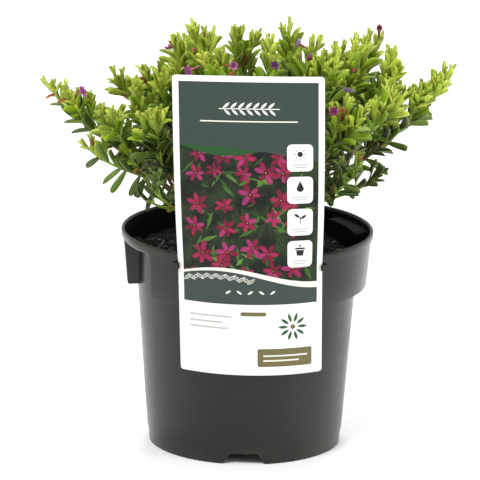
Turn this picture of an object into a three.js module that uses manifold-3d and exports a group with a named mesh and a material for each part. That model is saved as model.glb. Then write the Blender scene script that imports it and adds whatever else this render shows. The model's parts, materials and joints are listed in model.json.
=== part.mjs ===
// A potted false heather: a small bushy plant with narrow leaves and little magenta blooms, rooted in
// dark bark soil in a round nursery pot, with a picture card hooked to the front of the rim.
// Millimetres, +Z up. The origin is the centre of the foot ring on the ground, and -Y is the front.

import * as THREE from "three";
import { mergeVertices } from "three/addons/utils/BufferGeometryUtils.js";
import Module from "manifold-3d";

const wasm = await Module();
wasm.setup();

const clearance = 0.3;

// Pot: a tapered body, a wider collar above it and a small lip round the top
const potSides = 32;
const potHeight = 121;
const rimRadius = 70;
const lipHeight = 4;
const collarTopRadius = 68.8;
const collarFootRadius = 66.1;
const collarFootHeight = 90.4;
const bodyTopRadius = 60.6;
const footRadius = 54;
const potWall = 1.5;
const edgeRound = 0.8;
const footRingWidth = 2.4;
const floorTop = 8;
const notchCount = 4;
const notchHeight = 5.8;
const notchTopWidth = 15;
const notchFootWidth = 23.5;
const drainCount = 6;
const drainRadius = 3.5;
const drainCircle = 34;
// Two places where the collar falls back to the line of the body, under the unbroken lip
const recessAngles = [-65.5, 114.5];
const recessSpan = 29;
const recessRadius = 60.9;

// Soil
const soilTop = 107;
const soilSides = 20;
const soilRings = [64.5, 50, 33, 16];
const soilBump = 1.6;
const soilCrown = 2.2;
const chipCount = 11;

// Picture card, bent round the collar and held at its edges by two hooks on the pot
const cardWidth = 81;
const cardThickness = 0.6;
const cardFoot = 54;
const cardTop = 223.5;
const cardColumns = 6;
const cardRows = 8;
const cardCentre = 1.7;
const cardLean = -0.0245;
const cardFootFront = -62.6;
const cardRimFront = -71.1;
const cardTopFront = -78.6;
const cardFootBend = 0.0148;
const cardRimBend = 0.0131;
const hookHeight = 113;
const hookRise = 3.6;
const hookPost = 2.4;
const hookReach = 1.4;

// Woody crown: a short trunk and the limbs that fork from it, each given by where it ends
const trunkRadius = 4.2;
const trunkFoot = 84;
const trunkTop = 122;
const holeGap = 0.4;
const limbFootRadius = 2.3;
const limbEndRadius = 1.35;
const forkDrop = 4.5;
const forkDepth = 4;
const limbBend = 0.45;
const limbSag = 0.12;
const limbRise = 4;
const limbEnds = [
  [-50, -5, 149],
  [-38, 24, 160],
  [-40, -24, 147],
  [-18, 8, 174],
  [2, -30, 160],
  [24, 4, 172],
  [40, -26, 147],
  [49, -3, 148],
  [38, 27, 160],
  [3, 40, 160],
  [-26, 46, 143],
  [30, 47, 143],
];

// Leafy shoots: the limb each one leaves, how far along it, and the tips of its main stem and side stems
const shoots = [
  { limb: 0, from: 1, tips: [[-114, -6, 206], [-102, -14, 203], [-88, -2, 199]] },
  { limb: 2, from: 1, tips: [[-93, -25, 176], [-69, -30, 175]] },
  { limb: 1, from: 1, tips: [[-77, 8, 209], [-72, 17, 201]] },
  { limb: 0, from: 0.78, tips: [[-64, -18, 210]] },
  { limb: 0, from: 0.9, tips: [[-82, -32, 197], [-76, -42, 196]] },
  { limb: 1, from: 0.8, tips: [[-52, -5, 211]] },
  { limb: 3, from: 0.66, tips: [[-44, 12, 212]] },
  { limb: 3, from: 0.84, tips: [[-44, 20, 226], [-37, 27, 225]] },
  { limb: 3, from: 1, tips: [[-32, 5, 237], [-21, 10, 232]] },
  { limb: 4, from: 0.82, tips: [[-18, -25, 229], [-27, -30, 228]] },
  { limb: 9, from: 1, tips: [[-9, 25, 231], [1, 30, 227]] },
  { limb: 4, from: 1, tips: [[12, -20, 235]] },
  { limb: 5, from: 1, tips: [[21, 10, 237]] },
  { limb: 5, from: 0.84, tips: [[34, -10, 232]] },
  { limb: 6, from: 0.86, tips: [[40, -25, 228], [47, -32, 230]] },
  { limb: 5, from: 0.68, tips: [[52, 15, 224]] },
  { limb: 7, from: 0.76, tips: [[59, 0, 230], [66, 5, 232]] },
  { limb: 8, from: 1, tips: [[73, 20, 229]] },
  { limb: 7, from: 0.88, tips: [[80, 5, 223], [83, -4, 216]] },
  { limb: 6, from: 1, tips: [[79, -20, 209], [85, -28, 206]] },
  { limb: 8, from: 0.9, tips: [[90, 12, 201]] },
  { limb: 7, from: 1, tips: [[113, -4, 216], [99, -10, 208]] },
  { limb: 6, from: 0.72, tips: [[76, -32, 165]] },
  { limb: 2, from: 0.6, tips: [[-62, -37, 151]] },
  { limb: 2, from: 0.72, tips: [[-60, -52, 198], [-51, -58, 200]] },
  { limb: 2, from: 0.48, tips: [[-55, -79, 168]] },
  { limb: 6, from: 0.6, tips: [[53, -52, 208], [63, -54, 203]] },
  { limb: 6, from: 0.48, tips: [[60, -79, 178]] },
  { limb: 4, from: 0.66, tips: [[-25, -48, 196]] },
  { limb: 4, from: 0.5, tips: [[20, -50, 197]] },
  { limb: 10, from: 1, tips: [[-62, 38, 205], [-50, 38, 208]] },
  { limb: 1, from: 0.9, tips: [[-40, 58, 207]] },
  { limb: 9, from: 0.84, tips: [[-14, 68, 205], [-16, 54, 211]] },
  { limb: 9, from: 0.66, tips: [[14, 70, 206], [22, 56, 211]] },
  { limb: 8, from: 0.6, tips: [[42, 57, 205]] },
  { limb: 11, from: 0.5, tips: [[70, 48, 194]] },
  { limb: 10, from: 0.66, tips: [[-80, 20, 176]] },
  { limb: 10, from: 0.84, tips: [[-62, 60, 172], [-48, 62, 178]] },
  { limb: 10, from: 0.5, tips: [[-22, 79, 168]] },
  { limb: 11, from: 0.84, tips: [[20, 80, 170], [30, 70, 182]] },
  { limb: 11, from: 1, tips: [[58, 62, 174]] },
  { limb: 11, from: 0.66, tips: [[82, 36, 168]] },
];

// Stems: they keep some of their parent's direction, bend upwards, and end a little below their tip leaves
const stemSides = 4;
const stemFootRadius = 1.15;
const stemTipRadius = 0.65;
const parentPull = 0.5;
const upwardPull = 0.45;
const bendReach = 0.33;
const tipReach = 6;
const forkFrom = 0.56;
const forkStep = 0.14;
const forkSlimness = 0.75;

// Leaves: their angle from the stem opens from the tip down, and the lower ones droop
const leafPitch = 6.8;
const leafyShare = 0.66;
const leafLength = 13.5;
const tipLeafLength = 8.5;
const leafSlimness = 0.27;
const leafThickness = 0.9;
const leafRoot = 0.5;
const leafSunk = 0.3;
const leafOpenAtTip = 24;
const leafOpenMore = 40;
const leafDroop = 0.28;

// Blooms: where each corolla stands, with the shoot that carries it
const petalCount = 6;
const petalLength = 3;
const petalNotch = 0.36;
const petalRise = 1;
const petalThickness = 1.3;
const calyxRadius = 0.95;
const blooms = [
  { name: "bloom_far_left", shoot: 0, at: [-92, -12, 199], color: 0xb02ca0 },
  { name: "bloom_card_edge", shoot: 9, at: [-33, -32, 216], color: 0xa51f94 },
  { name: "bloom_front_pink", shoot: 9, at: [-10, -31, 219], color: 0xc46aa8 },
  { name: "bloom_dark_bud", shoot: 8, at: [-20, 2, 213], color: 0x3d1746 },
  { name: "bloom_front_purple", shoot: 11, at: [13, -29, 219], color: 0x7c2f86 },
  { name: "bloom_lilac", shoot: 13, at: [27, -5, 226], color: 0xa98ac0 },
  { name: "bloom_top_red", shoot: 14, at: [34, -18, 221], color: 0x7a1e46 },
  { name: "bloom_right_magenta", shoot: 26, at: [46, -55, 200], color: 0xb3207e },
  { name: "bloom_right_grey", shoot: 26, at: [53, -43, 208], color: 0x77688c },
  { name: "bloom_red_bud", shoot: 17, at: [71, 14, 231], color: 0xa02848 },
  { name: "bloom_back_left", shoot: 31, at: [-45, 57, 210], color: 0xa8289c },
  { name: "bloom_back_top", shoot: 33, at: [14, 74, 208], color: 0xb02ca0 },
  { name: "bloom_back_right", shoot: 40, at: [62, 62, 178], color: 0xa8289c },
];

const up = new THREE.Vector3(0, 0, 1);

// A repeatable number from 0 to 1 for three whole numbers
function jitter(a, b, c) {
  const wave = Math.sin(a * 12.9898 + b * 78.233 + c * 37.719) * 43758.5453;
  return wave - Math.floor(wave);
}

function spread(a, b, c, amount) {
  return (jitter(a, b, c) * 2 - 1) * amount;
}

function smooth(value) {
  const t = Math.min(Math.max(value, 0), 1);
  return t * t * (3 - 2 * t);
}

function point(list) {
  return new THREE.Vector3(...list);
}

function compass(degrees) {
  return (degrees * Math.PI) / 180;
}

// A point on a circle about the pot's axis, where angle 0 is the front and grows towards +X
function around(degrees, radius) {
  const angle = compass(degrees);
  return new THREE.Vector2(radius * Math.sin(angle), -radius * Math.cos(angle));
}

function toSolid(geometry) {
  const bare = geometry.index ? geometry.toNonIndexed() : geometry.clone();
  bare.deleteAttribute("normal");
  bare.deleteAttribute("uv");
  const merged = mergeVertices(bare, 1e-4);
  const solid = new wasm.Manifold(
    new wasm.Mesh({
      numProp: 3,
      vertProperties: new Float32Array(merged.attributes.position.array),
      triVerts: new Uint32Array(merged.index.array),
    }),
  );
  if (solid.volume() >= 0) return solid;
  merged.index.array.reverse();
  return toSolid(merged);
}

function toMesh(name, solid, color, roughness) {
  const { numProp, vertProperties, triVerts } = solid.getMesh();
  const geometry = new THREE.BufferGeometry();
  geometry.setAttribute("position", new THREE.BufferAttribute(vertProperties, numProp));
  geometry.setIndex(new THREE.BufferAttribute(triVerts, 1));
  geometry.computeVertexNormals();
  const material = new THREE.MeshStandardMaterial({ color, roughness, metalness: 0 });
  const mesh = new THREE.Mesh(geometry, material);
  mesh.name = name;
  return mesh;
}

function join(solids) {
  return solids.reduce((whole, solid) => whole.add(solid));
}

// The largest body of a solid, without loose scraps
function largest(solid) {
  return solid.decompose().reduce((best, body) => (body.volume() > best.volume() ? body : best));
}

function movePoints(geometry, place) {
  const position = geometry.attributes.position;
  const vertex = new THREE.Vector3();
  for (let i = 0; i < position.count; i++) {
    vertex.fromBufferAttribute(position, i);
    place(vertex);
    position.setXYZ(i, vertex.x, vertex.y, vertex.z);
  }
  return geometry;
}

// A solid of revolution about the vertical axis, from a profile of [radius, height]
function turned(profile, sides) {
  const points = profile.map(([radius, height]) => new THREE.Vector2(radius, height));
  return toSolid(new THREE.LatheGeometry(points, sides).rotateX(Math.PI / 2));
}

// An upright block whose plan is a ring sector about the pot's axis
function sector(middle, span, inner, outer, bottom, top) {
  const steps = 5;
  const plan = [];
  for (let i = 0; i <= steps; i++) plan.push(around(middle - span / 2 + (span * i) / steps, outer));
  for (let i = steps; i >= 0; i--) plan.push(around(middle - span / 2 + (span * i) / steps, inner));
  const block = new THREE.ExtrudeGeometry(new THREE.Shape(plan), {
    depth: top - bottom,
    bevelEnabled: false,
  });
  return toSolid(block.translate(0, 0, bottom));
}

// Sideways and upright directions that stay steady along a stem leaning away from the axis
function crossFrame(tangent, side) {
  const across = side.clone().addScaledVector(tangent, -side.dot(tangent)).normalize();
  return { across, rise: new THREE.Vector3().crossVectors(tangent, across) };
}

function sideOf(from, to) {
  const side = new THREE.Vector3(from.y - to.y, to.x - from.x, 0);
  return side.lengthSq() < 1 ? new THREE.Vector3(1, 0, 0) : side.normalize();
}

// A tapered round stem, closed at both ends, bent along its curve
function bentStem(curve, footRadius, endRadius, sides, steps, side) {
  const straight = new THREE.CylinderGeometry(endRadius, footRadius, 1, sides, steps);
  movePoints(straight, (vertex) => {
    const along = THREE.MathUtils.clamp(vertex.y + 0.5, 0, 1);
    const frame = crossFrame(curve.getTangent(along), side);
    const centre = curve.getPoint(along);
    centre.addScaledVector(frame.across, vertex.x).addScaledVector(frame.rise, vertex.z);
    vertex.copy(centre);
  });
  return toSolid(straight);
}

function makePot() {
  const outside = turned(
    [
      [0, 0],
      [footRadius - edgeRound, 0],
      [footRadius, edgeRound],
      [bodyTopRadius, collarFootHeight],
      [collarFootRadius - edgeRound, collarFootHeight],
      [collarFootRadius, collarFootHeight + edgeRound],
      [collarTopRadius, potHeight - lipHeight],
      [rimRadius, potHeight - lipHeight],
      [rimRadius, potHeight - edgeRound],
      [rimRadius - edgeRound, potHeight],
      [0, potHeight],
    ],
    potSides,
  );
  const inside = turned(
    [
      [0, floorTop],
      [footRadius - 2 * potWall, floorTop],
      [footRadius - potWall, floorTop + potWall],
      [bodyTopRadius - potWall, collarFootHeight + potWall],
      [collarFootRadius - potWall, collarFootHeight + 2 * potWall],
      [collarTopRadius - potWall, potHeight - lipHeight],
      [collarTopRadius - potWall, potHeight + 1],
      [0, potHeight + 1],
    ],
    potSides,
  );
  const underside = turned(
    [
      [0, -1],
      [footRadius - footRingWidth, -1],
      [footRadius - footRingWidth, floorTop - potWall],
      [0, floorTop - potWall],
    ],
    potSides,
  );
  let pot = outside.subtract(underside);
  let room = inside;
  for (const middle of recessAngles) {
    pot = pot.subtract(recessOutside(middle));
    room = room.subtract(recessInside(middle, 0));
  }
  pot = pot.subtract(room);
  for (let i = 0; i < notchCount; i++) pot = pot.subtract(footNotch((360 * i) / notchCount));
  for (let i = 0; i < drainCount; i++) pot = pot.subtract(drainHole((360 * (i + 0.5)) / drainCount));
  return join([pot, ...hookPlans().map(cardHook)]);
}

function recessOutside(middle) {
  const top = potHeight - lipHeight - potWall;
  return sector(middle, recessSpan, recessRadius, rimRadius + 5, collarFootHeight - 0.5, top);
}

function recessInside(middle, gap) {
  const inner = recessRadius - potWall - gap;
  const span = recessSpan + (2 * (potWall + gap) * 180) / (Math.PI * recessRadius);
  const top = potHeight - lipHeight + gap;
  return sector(middle, span, inner, rimRadius + 5, collarFootHeight - 3 * potWall, top);
}

// A flared gap in the foot ring that lets water out
function footNotch(angle) {
  const plan = new THREE.Shape();
  plan.moveTo(-notchFootWidth / 2, -1);
  plan.lineTo(notchFootWidth / 2, -1);
  plan.lineTo(notchTopWidth / 2, notchHeight);
  plan.lineTo(-notchTopWidth / 2, notchHeight);
  const depth = 12;
  const gap = new THREE.ExtrudeGeometry(plan, { depth, bevelEnabled: false });
  gap.translate(0, 0, footRadius - depth / 2).rotateX(Math.PI / 2).rotateZ(compass(angle));
  return toSolid(gap);
}

function drainHole(angle) {
  const hole = new THREE.CylinderGeometry(drainRadius, drainRadius, 8, 8);
  const place = around(angle, drainCircle);
  return toSolid(hole.rotateX(Math.PI / 2).translate(place.x, place.y, floorTop - potWall / 2));
}

// The card's centre line, facing bend and edges at a height
function cardLine(height) {
  const shift = height - potHeight + lipHeight;
  const below = [height, cardFoot, potHeight - lipHeight, cardFootFront, cardRimFront];
  const above = [height, potHeight - lipHeight, cardTop, cardRimFront, cardTopFront];
  const front = THREE.MathUtils.mapLinear(...(shift < 0 ? below : above));
  const bend = shift < 0
    ? THREE.MathUtils.mapLinear(height, cardFoot, potHeight - lipHeight, cardFootBend, cardRimBend)
    : cardRimBend * Math.exp(-shift / 75) - 0.0015 * smooth(shift / 90);
  return { centre: cardCentre + cardLean * shift, front, bend };
}

// A point of the card from its distance along its width, its height and how far it stands off its back
function cardPoint(across, height, off) {
  const { centre, front, bend } = cardLine(height);
  const turn = across * bend;
  const radius = 1 / bend + off;
  const x = centre + radius * Math.sin(turn);
  const y = front + 1 / bend - radius * Math.cos(turn);
  return new THREE.Vector3(x, y, height);
}

function makeCard() {
  const height = cardTop - cardFoot;
  const flat = new THREE.BoxGeometry(cardWidth, cardThickness, height, cardColumns, 1, cardRows);
  movePoints(flat, (vertex) => {
    const off = cardThickness / 2 - vertex.y;
    vertex.copy(cardPoint(vertex.x, cardFoot + height / 2 + vertex.z, off));
  });
  return toSolid(flat);
}

// Each hook stands beside an edge of the card and reaches a little way over its front
function hookPlans() {
  return [-1, 1].map((sign) => {
    const edge = cardPoint((sign * cardWidth) / 2, hookHeight + hookRise / 2, cardThickness);
    const angle = (Math.atan2(edge.x, -edge.y) * 180) / Math.PI;
    return { sign, angle, radius: Math.hypot(edge.x, edge.y) };
  });
}

function cardHook({ sign, angle, radius }) {
  const degree = (radius * Math.PI) / 180;
  const beside = angle + (sign * (clearance + 0.15)) / degree;
  const outer = beside + (sign * hookPost) / degree;
  const over = angle - (sign * hookReach) / degree;
  const front = radius + 2 * clearance;
  const wallRadius = collarTopRadius - potWall / 2;
  const plan = [
    around(beside, wallRadius),
    around(outer, wallRadius),
    around(outer, front + potWall),
    around(over, front + potWall),
    around(over, front),
    around(beside, front),
  ];
  const shape = new THREE.Shape(sign > 0 ? plan : plan.reverse());
  const hook = new THREE.ExtrudeGeometry(shape, { depth: hookRise, bevelEnabled: false });
  return toSolid(hook.translate(0, 0, hookHeight));
}

function makeSoil() {
  const wall = potWall + clearance;
  const profile = [
    [0, floorTop + clearance],
    [footRadius - 2 * potWall - clearance, floorTop + clearance],
    [footRadius - wall, floorTop + potWall + clearance],
    [bodyTopRadius - wall, collarFootHeight + potWall],
    [collarFootRadius - wall, collarFootHeight + 2 * potWall + clearance],
  ];
  for (const radius of soilRings) {
    profile.push([radius, soilTop + soilCrown * (1 - radius / soilRings[0])]);
  }
  profile.push([0, soilTop + soilCrown]);
  const points = profile.map(([radius, height]) => new THREE.Vector2(radius, height));
  const ball = new THREE.LatheGeometry(points, soilSides).rotateX(Math.PI / 2);
  movePoints(ball, (vertex) => {
    if (vertex.z < soilTop - 0.5) return;
    const column = Math.round((Math.atan2(vertex.y, vertex.x) / Math.PI) * (soilSides / 2));
    const ring = Math.round(Math.hypot(vertex.x, vertex.y));
    const turn = ring === 0 ? 0 : (column + soilSides) % soilSides;
    vertex.z += spread(ring, turn, 1, soilBump);
  });
  let soil = toSolid(ball);
  for (let i = 0; i < chipCount; i++) soil = soil.add(barkChip(i));
  for (const middle of recessAngles) soil = soil.subtract(recessInside(middle, clearance));
  const hole = [
    [0, trunkFoot - holeGap],
    [trunkRadius + holeGap, trunkFoot - holeGap],
    [trunkRadius + holeGap, soilTop + 10],
    [0, soilTop + 10],
  ];
  return largest(soil.subtract(turned(hole, 12)));
}

function barkChip(i) {
  const size = 4 + 5 * jitter(i, 2, 1);
  const chip = new THREE.BoxGeometry(size, size * 0.55, 2.2 + 1.2 * jitter(i, 2, 2));
  chip.rotateX(spread(i, 2, 3, 0.35)).rotateY(spread(i, 2, 4, 0.35));
  chip.rotateZ(Math.PI * jitter(i, 2, 5));
  const reach = 12 + 41 * Math.sqrt((i + 0.5) / chipCount);
  const place = around(137.5 * i, reach);
  const level = soilTop + soilCrown * (1 - reach / soilRings[0]) + 0.4;
  return toSolid(chip.translate(place.x, place.y, level));
}

// Limbs leave the trunk at staggered heights and curve out and up to their ends
function growLimb(end, index) {
  const start = new THREE.Vector3(0, 0, trunkTop - forkDrop - forkDepth * jitter(index, 3, 1));
  const tip = point(end);
  const middle = start.clone().lerp(tip, limbBend);
  middle.z = Math.max(middle.z - limbSag * start.distanceTo(tip), start.z + limbRise);
  const curve = new THREE.QuadraticBezierCurve3(start, middle, tip);
  return { curve, side: sideOf(start, tip) };
}

function makeCrown(limbs, extra) {
  const trunk = turned(
    [
      [0, trunkFoot],
      [trunkRadius - 0.6, trunkFoot],
      [trunkRadius, trunkFoot + 6],
      [trunkRadius + extra * 0.5, soilTop],
      [trunkRadius * 0.8 + extra, trunkTop - 4],
      [trunkRadius * 0.45 + extra, trunkTop],
      [0, trunkTop + extra],
    ],
    8,
  );
  const wood = limbs.map(({ curve, side }) =>
    bentStem(curve, limbFootRadius + extra, limbEndRadius + extra, 4, 3, side),
  );
  return join([trunk, ...wood]);
}

// A stem's curve: it leaves along its parent, then turns towards the light
function stemCurve(start, leave, tip) {
  const chord = tip.clone().sub(start);
  const length = chord.length();
  chord.normalize();
  const away = leave.clone().multiplyScalar(parentPull).add(chord).normalize();
  const arrive = chord.clone().addScaledVector(up, upwardPull).normalize();
  const end = tip.clone().addScaledVector(arrive, -tipReach);
  const first = start.clone().addScaledVector(away, bendReach * length);
  const second = end.clone().addScaledVector(arrive, -bendReach * length);
  return new THREE.CubicBezierCurve3(start, first, second, end);
}

function growShoot(shoot, index, limbs) {
  const limb = limbs[shoot.limb].curve;
  const tips = shoot.tips.map(point);
  const start = limb.getPoint(shoot.from);
  const main = stemCurve(start, limb.getTangent(shoot.from), tips[0]);
  const stems = [{ curve: main, side: sideOf(start, tips[0]), key: index * 4 }];
  tips.slice(1).forEach((tip, i) => {
    const fork = main.getPoint(forkFrom + forkStep * i);
    const curve = stemCurve(fork, tip.clone().sub(fork).normalize(), tip);
    stems.push({ curve, side: sideOf(start, tip), key: index * 4 + i + 1 });
  });
  return stems;
}

function stemSolid({ curve }, { side, thick, steps, extra }) {
  return bentStem(curve, thick + extra, stemTipRadius + extra, stemSides, steps, side);
}

function woodOf(stems, extra) {
  return join(
    stems.map((stem, i) => {
      const thick = i === 0 ? stemFootRadius : stemFootRadius * forkSlimness;
      return stemSolid(stem, { side: stem.side, thick, steps: i === 0 ? 4 : 2, extra });
    }),
  );
}

// A narrow pointed blade along +X with its root at the origin: six outline points and a ridge point on
// each face, with the upper ridge sunk a little, as the midrib is
function bladeGeometry(length, width, thickness) {
  const blade = new THREE.SphereGeometry(1, 6, 2);
  return movePoints(blade, (vertex) => {
    const along = [0, 0.36, 0.72, 1][Math.round((vertex.x + 1) * 1.5 - 0.001)];
    const across = Math.sign(Math.round(vertex.z * 100)) * (along > 0.5 ? 0.44 : 0.5);
    if (Math.abs(vertex.y) > 0.5) {
      vertex.set(0.42 * length, 0, vertex.y > 0 ? 0.12 * thickness : -0.88 * thickness);
      return;
    }
    vertex.set(along * length, across * width, 0);
  });
}

// Sets a blade's root at a place, with its length along one direction and its upper face towards another
function bladeSolid({ root, direction, face }, length, width, thickness) {
  const blade = bladeGeometry(length, width, thickness);
  const across = new THREE.Vector3().crossVectors(face, direction);
  blade.applyMatrix4(new THREE.Matrix4().makeBasis(direction, across, face).setPosition(root));
  return toSolid(blade);
}

// Where the leaves of a stem stand: crossed pairs whose angle from the stem opens towards its foot
function leafPlaces({ curve, side, key }) {
  const length = curve.getLength();
  const count = Math.floor((length * leafyShare) / leafPitch);
  const places = [];
  for (let node = 0; node < count; node++) {
    const fromTip = 0.4 + node * leafPitch;
    const along = 1 - fromTip / length;
    const opposite = node === 0 ? [0, 1] : [(node >> 1) & 1];
    for (const pair of opposite) places.push({ along, fromTip, node, pair, key, curve, side });
  }
  return places;
}

function leafAt({ along, fromTip, node, pair, key, curve, side }, turn) {
  const tangent = curve.getTangentAt(along);
  const { across, rise } = crossFrame(tangent, side);
  const angle = compass(45 + 90 * node + 180 * pair + spread(key, node, 5 + pair, 14) + turn);
  const outward = across.clone().multiplyScalar(Math.cos(angle)).addScaledVector(rise, Math.sin(angle));
  const wider = leafOpenMore * smooth(fromTip / 45) + spread(key, node, 7 + pair, 7);
  const open = compass(leafOpenAtTip + wider);
  const direction = tangent.clone().multiplyScalar(Math.cos(open)).addScaledVector(outward, Math.sin(open));
  direction.z -= leafDroop * smooth((fromTip - 20) / 40);
  direction.normalize();
  const face = tangent.clone().addScaledVector(direction, -tangent.dot(direction)).normalize();
  const grown = tipLeafLength + (leafLength - tipLeafLength) * smooth(fromTip / 16);
  const length = grown + spread(key, node, 9 + pair, 1.2) + leafSunk;
  const stemRadius = THREE.MathUtils.lerp(stemFootRadius, stemTipRadius, along);
  const root = curve.getPointAt(along).addScaledVector(outward, leafRoot * stemRadius);
  root.addScaledVector(direction, -leafSunk);
  return { root, direction, face, length, width: length * leafSlimness };
}

function leafSolid({ root, direction, face, length, width }, extra) {
  const thickness = leafThickness + 2 * extra;
  return bladeSolid({ root, direction, face }, length + extra, width + 2 * extra, thickness);
}

// What stands already, so that a new piece can be tried against the solids of other nodes
const standing = [];

function stand(owner, solid) {
  standing.push({ owner, solid, box: solid.boundingBox() });
}

function boxesMeet(a, b) {
  return [0, 1, 2].every((axis) => a.min[axis] < b.max[axis] && b.min[axis] < a.max[axis]);
}

function isClear(owner, solid) {
  const box = solid.boundingBox();
  return !standing.some(
    (item) =>
      item.owner !== owner && boxesMeet(item.box, box) && !item.solid.intersect(solid).isEmpty(),
  );
}

// Leaves that would cross another node turn round the stem to a clear place
function leafSolids(owner, stems) {
  const leaves = [];
  for (const place of stems.flatMap(leafPlaces)) {
    for (const turn of [0, 22, -22, 44, -44, 90]) {
      const leaf = leafAt(place, turn);
      if (!isClear(owner, leafSolid(leaf, clearance))) continue;
      const blade = leafSolid(leaf, 0);
      leaves.push(blade);
      stand(owner, blade);
      break;
    }
  }
  return leaves;
}

// The calyx grows from the nearest point of its shoot and ends just behind the corolla
function calyxOf(bloom, stems) {
  const at = point(bloom.at);
  let best = null;
  for (const { curve } of stems) {
    for (let step = 2; step <= 30; step++) {
      const foot = curve.getPoint(step / 30);
      const length = foot.distanceTo(at);
      if (!best || length < best.length) best = { foot, length };
    }
  }
  const direction = at.clone().sub(best.foot).normalize();
  const mouth = at.clone().addScaledVector(direction, -(petalThickness / 2 + clearance));
  const curve = new THREE.LineCurve3(best.foot, mouth);
  const solid = bentStem(curve, 0.6, calyxRadius, 5, 1, sideOf(best.foot, at.clone().add(up)));
  return { solid, direction };
}

// Six petals round a thick throat, as one closed form. Each petal has three outline points and a notch
// beside it, and the petals rise from the throat like a shallow cup.
function corollaSolid(at, direction) {
  const lobe = [petalNotch, 0.8, 1, 0.8];
  const star = new THREE.SphereGeometry(1, petalCount * lobe.length, 2);
  const { across, rise } = crossFrame(direction, new THREE.Vector3(0.8, 0.6, 0.1).normalize());
  movePoints(star, (vertex) => {
    const local = new THREE.Vector3(0, 0, (Math.sign(vertex.y) * petalThickness) / 2);
    if (Math.abs(vertex.y) < 0.5) {
      const turn = Math.atan2(vertex.z, vertex.x) / (2 * Math.PI) + 1;
      const step = Math.round(turn * petalCount * lobe.length) % lobe.length;
      const reach = petalLength * lobe[step];
      local.set(vertex.x * reach, vertex.z * reach, petalRise * lobe[step]);
    }
    vertex.copy(at).addScaledVector(across, local.x).addScaledVector(rise, local.y);
    vertex.addScaledVector(direction, local.z);
  });
  return toSolid(star);
}

const plant = new THREE.Group();
const limbs = limbEnds.map(growLimb);
const pot = makePot();
const soil = makeSoil();
const card = makeCard();
const crown = makeCrown(limbs, 0);
const crownSheath = makeCrown(limbs, clearance);
plant.add(toMesh("pot", pot, 0x3a3935, 0.45));
plant.add(toMesh("soil", soil, 0x1b1714, 0.95));
plant.add(toMesh("picture_card", card, 0xe9ebe6, 0.5));
plant.add(toMesh("woody_crown", crown, 0x5b4030, 0.8));
stand("pot", pot);
stand("soil", soil);
stand("card", card);
stand("crown", crown);

const grown = shoots.map((shoot, index) => growShoot(shoot, index, limbs));
const woods = grown.map((stems) => woodOf(stems, 0));
const calyxes = blooms.map((bloom) => calyxOf(bloom, grown[bloom.shoot]));
blooms.forEach((bloom, i) => {
  const corolla = corollaSolid(point(bloom.at), calyxes[i].direction);
  stand(bloom.name, corolla);
  stand(bloom.shoot, calyxes[i].solid);
  plant.add(toMesh(bloom.name, corolla, bloom.color, 0.6));
});
woods.forEach((wood, index) => stand(index, wood));
grown.forEach((stems, index) => {
  const mine = calyxes.filter((calyx, i) => blooms[i].shoot === index).map(({ solid }) => solid);
  const spray = join([woods[index].subtract(crownSheath), ...mine, ...leafSolids(index, stems)]);
  const name = `leafy_shoot_${String(index + 1).padStart(2, "0")}`;
  plant.add(toMesh(name, largest(spray), 0x7ea52c, 0.7));
});

export default plant;
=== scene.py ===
# A potted false heather in its nursery pot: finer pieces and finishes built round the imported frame.
# Sizes in the dictionaries are millimetres unless a name says otherwise; Blender gets metres.
import json
import math
import random
import bmesh
import bpy
from mathutils import Euler, Matrix, Vector, noise
from mathutils.geometry import delaunay_2d_cdt

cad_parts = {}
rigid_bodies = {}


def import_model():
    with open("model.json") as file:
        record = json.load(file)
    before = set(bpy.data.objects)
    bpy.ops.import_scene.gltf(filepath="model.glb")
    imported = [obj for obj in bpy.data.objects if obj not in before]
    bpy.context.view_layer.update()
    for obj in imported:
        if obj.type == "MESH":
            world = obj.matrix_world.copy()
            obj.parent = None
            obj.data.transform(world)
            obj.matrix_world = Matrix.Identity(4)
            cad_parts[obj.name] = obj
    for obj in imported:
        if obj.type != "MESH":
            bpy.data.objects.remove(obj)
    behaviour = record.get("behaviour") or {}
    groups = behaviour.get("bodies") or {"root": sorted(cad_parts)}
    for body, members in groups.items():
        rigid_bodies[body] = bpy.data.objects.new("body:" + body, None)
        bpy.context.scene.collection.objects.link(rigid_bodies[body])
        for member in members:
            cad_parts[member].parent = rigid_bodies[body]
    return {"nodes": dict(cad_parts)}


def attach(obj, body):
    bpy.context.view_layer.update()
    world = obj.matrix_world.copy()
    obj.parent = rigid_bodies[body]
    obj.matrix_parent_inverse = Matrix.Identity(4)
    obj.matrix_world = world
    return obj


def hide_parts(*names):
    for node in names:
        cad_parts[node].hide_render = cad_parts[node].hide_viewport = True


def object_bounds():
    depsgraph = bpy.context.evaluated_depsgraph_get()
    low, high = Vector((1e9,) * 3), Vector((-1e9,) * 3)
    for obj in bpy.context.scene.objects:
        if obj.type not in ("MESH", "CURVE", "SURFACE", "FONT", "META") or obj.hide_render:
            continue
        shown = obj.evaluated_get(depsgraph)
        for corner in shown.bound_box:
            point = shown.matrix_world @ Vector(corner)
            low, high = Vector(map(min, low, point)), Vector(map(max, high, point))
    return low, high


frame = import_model()
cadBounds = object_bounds()
mm = 0.001
up = Vector((0, 0, 1))
print("frame loaded:", len(frame["nodes"]), "nodes")


# Camera, light and floor

shot = {
    "target": (-4.0, 0, 113.7),
    "distance": 2193.1,
    "elevation": 14.41,  # degrees
    "lens": 295.96,
    "roll": 0.91,  # degrees, as the photo was held
}


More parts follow.
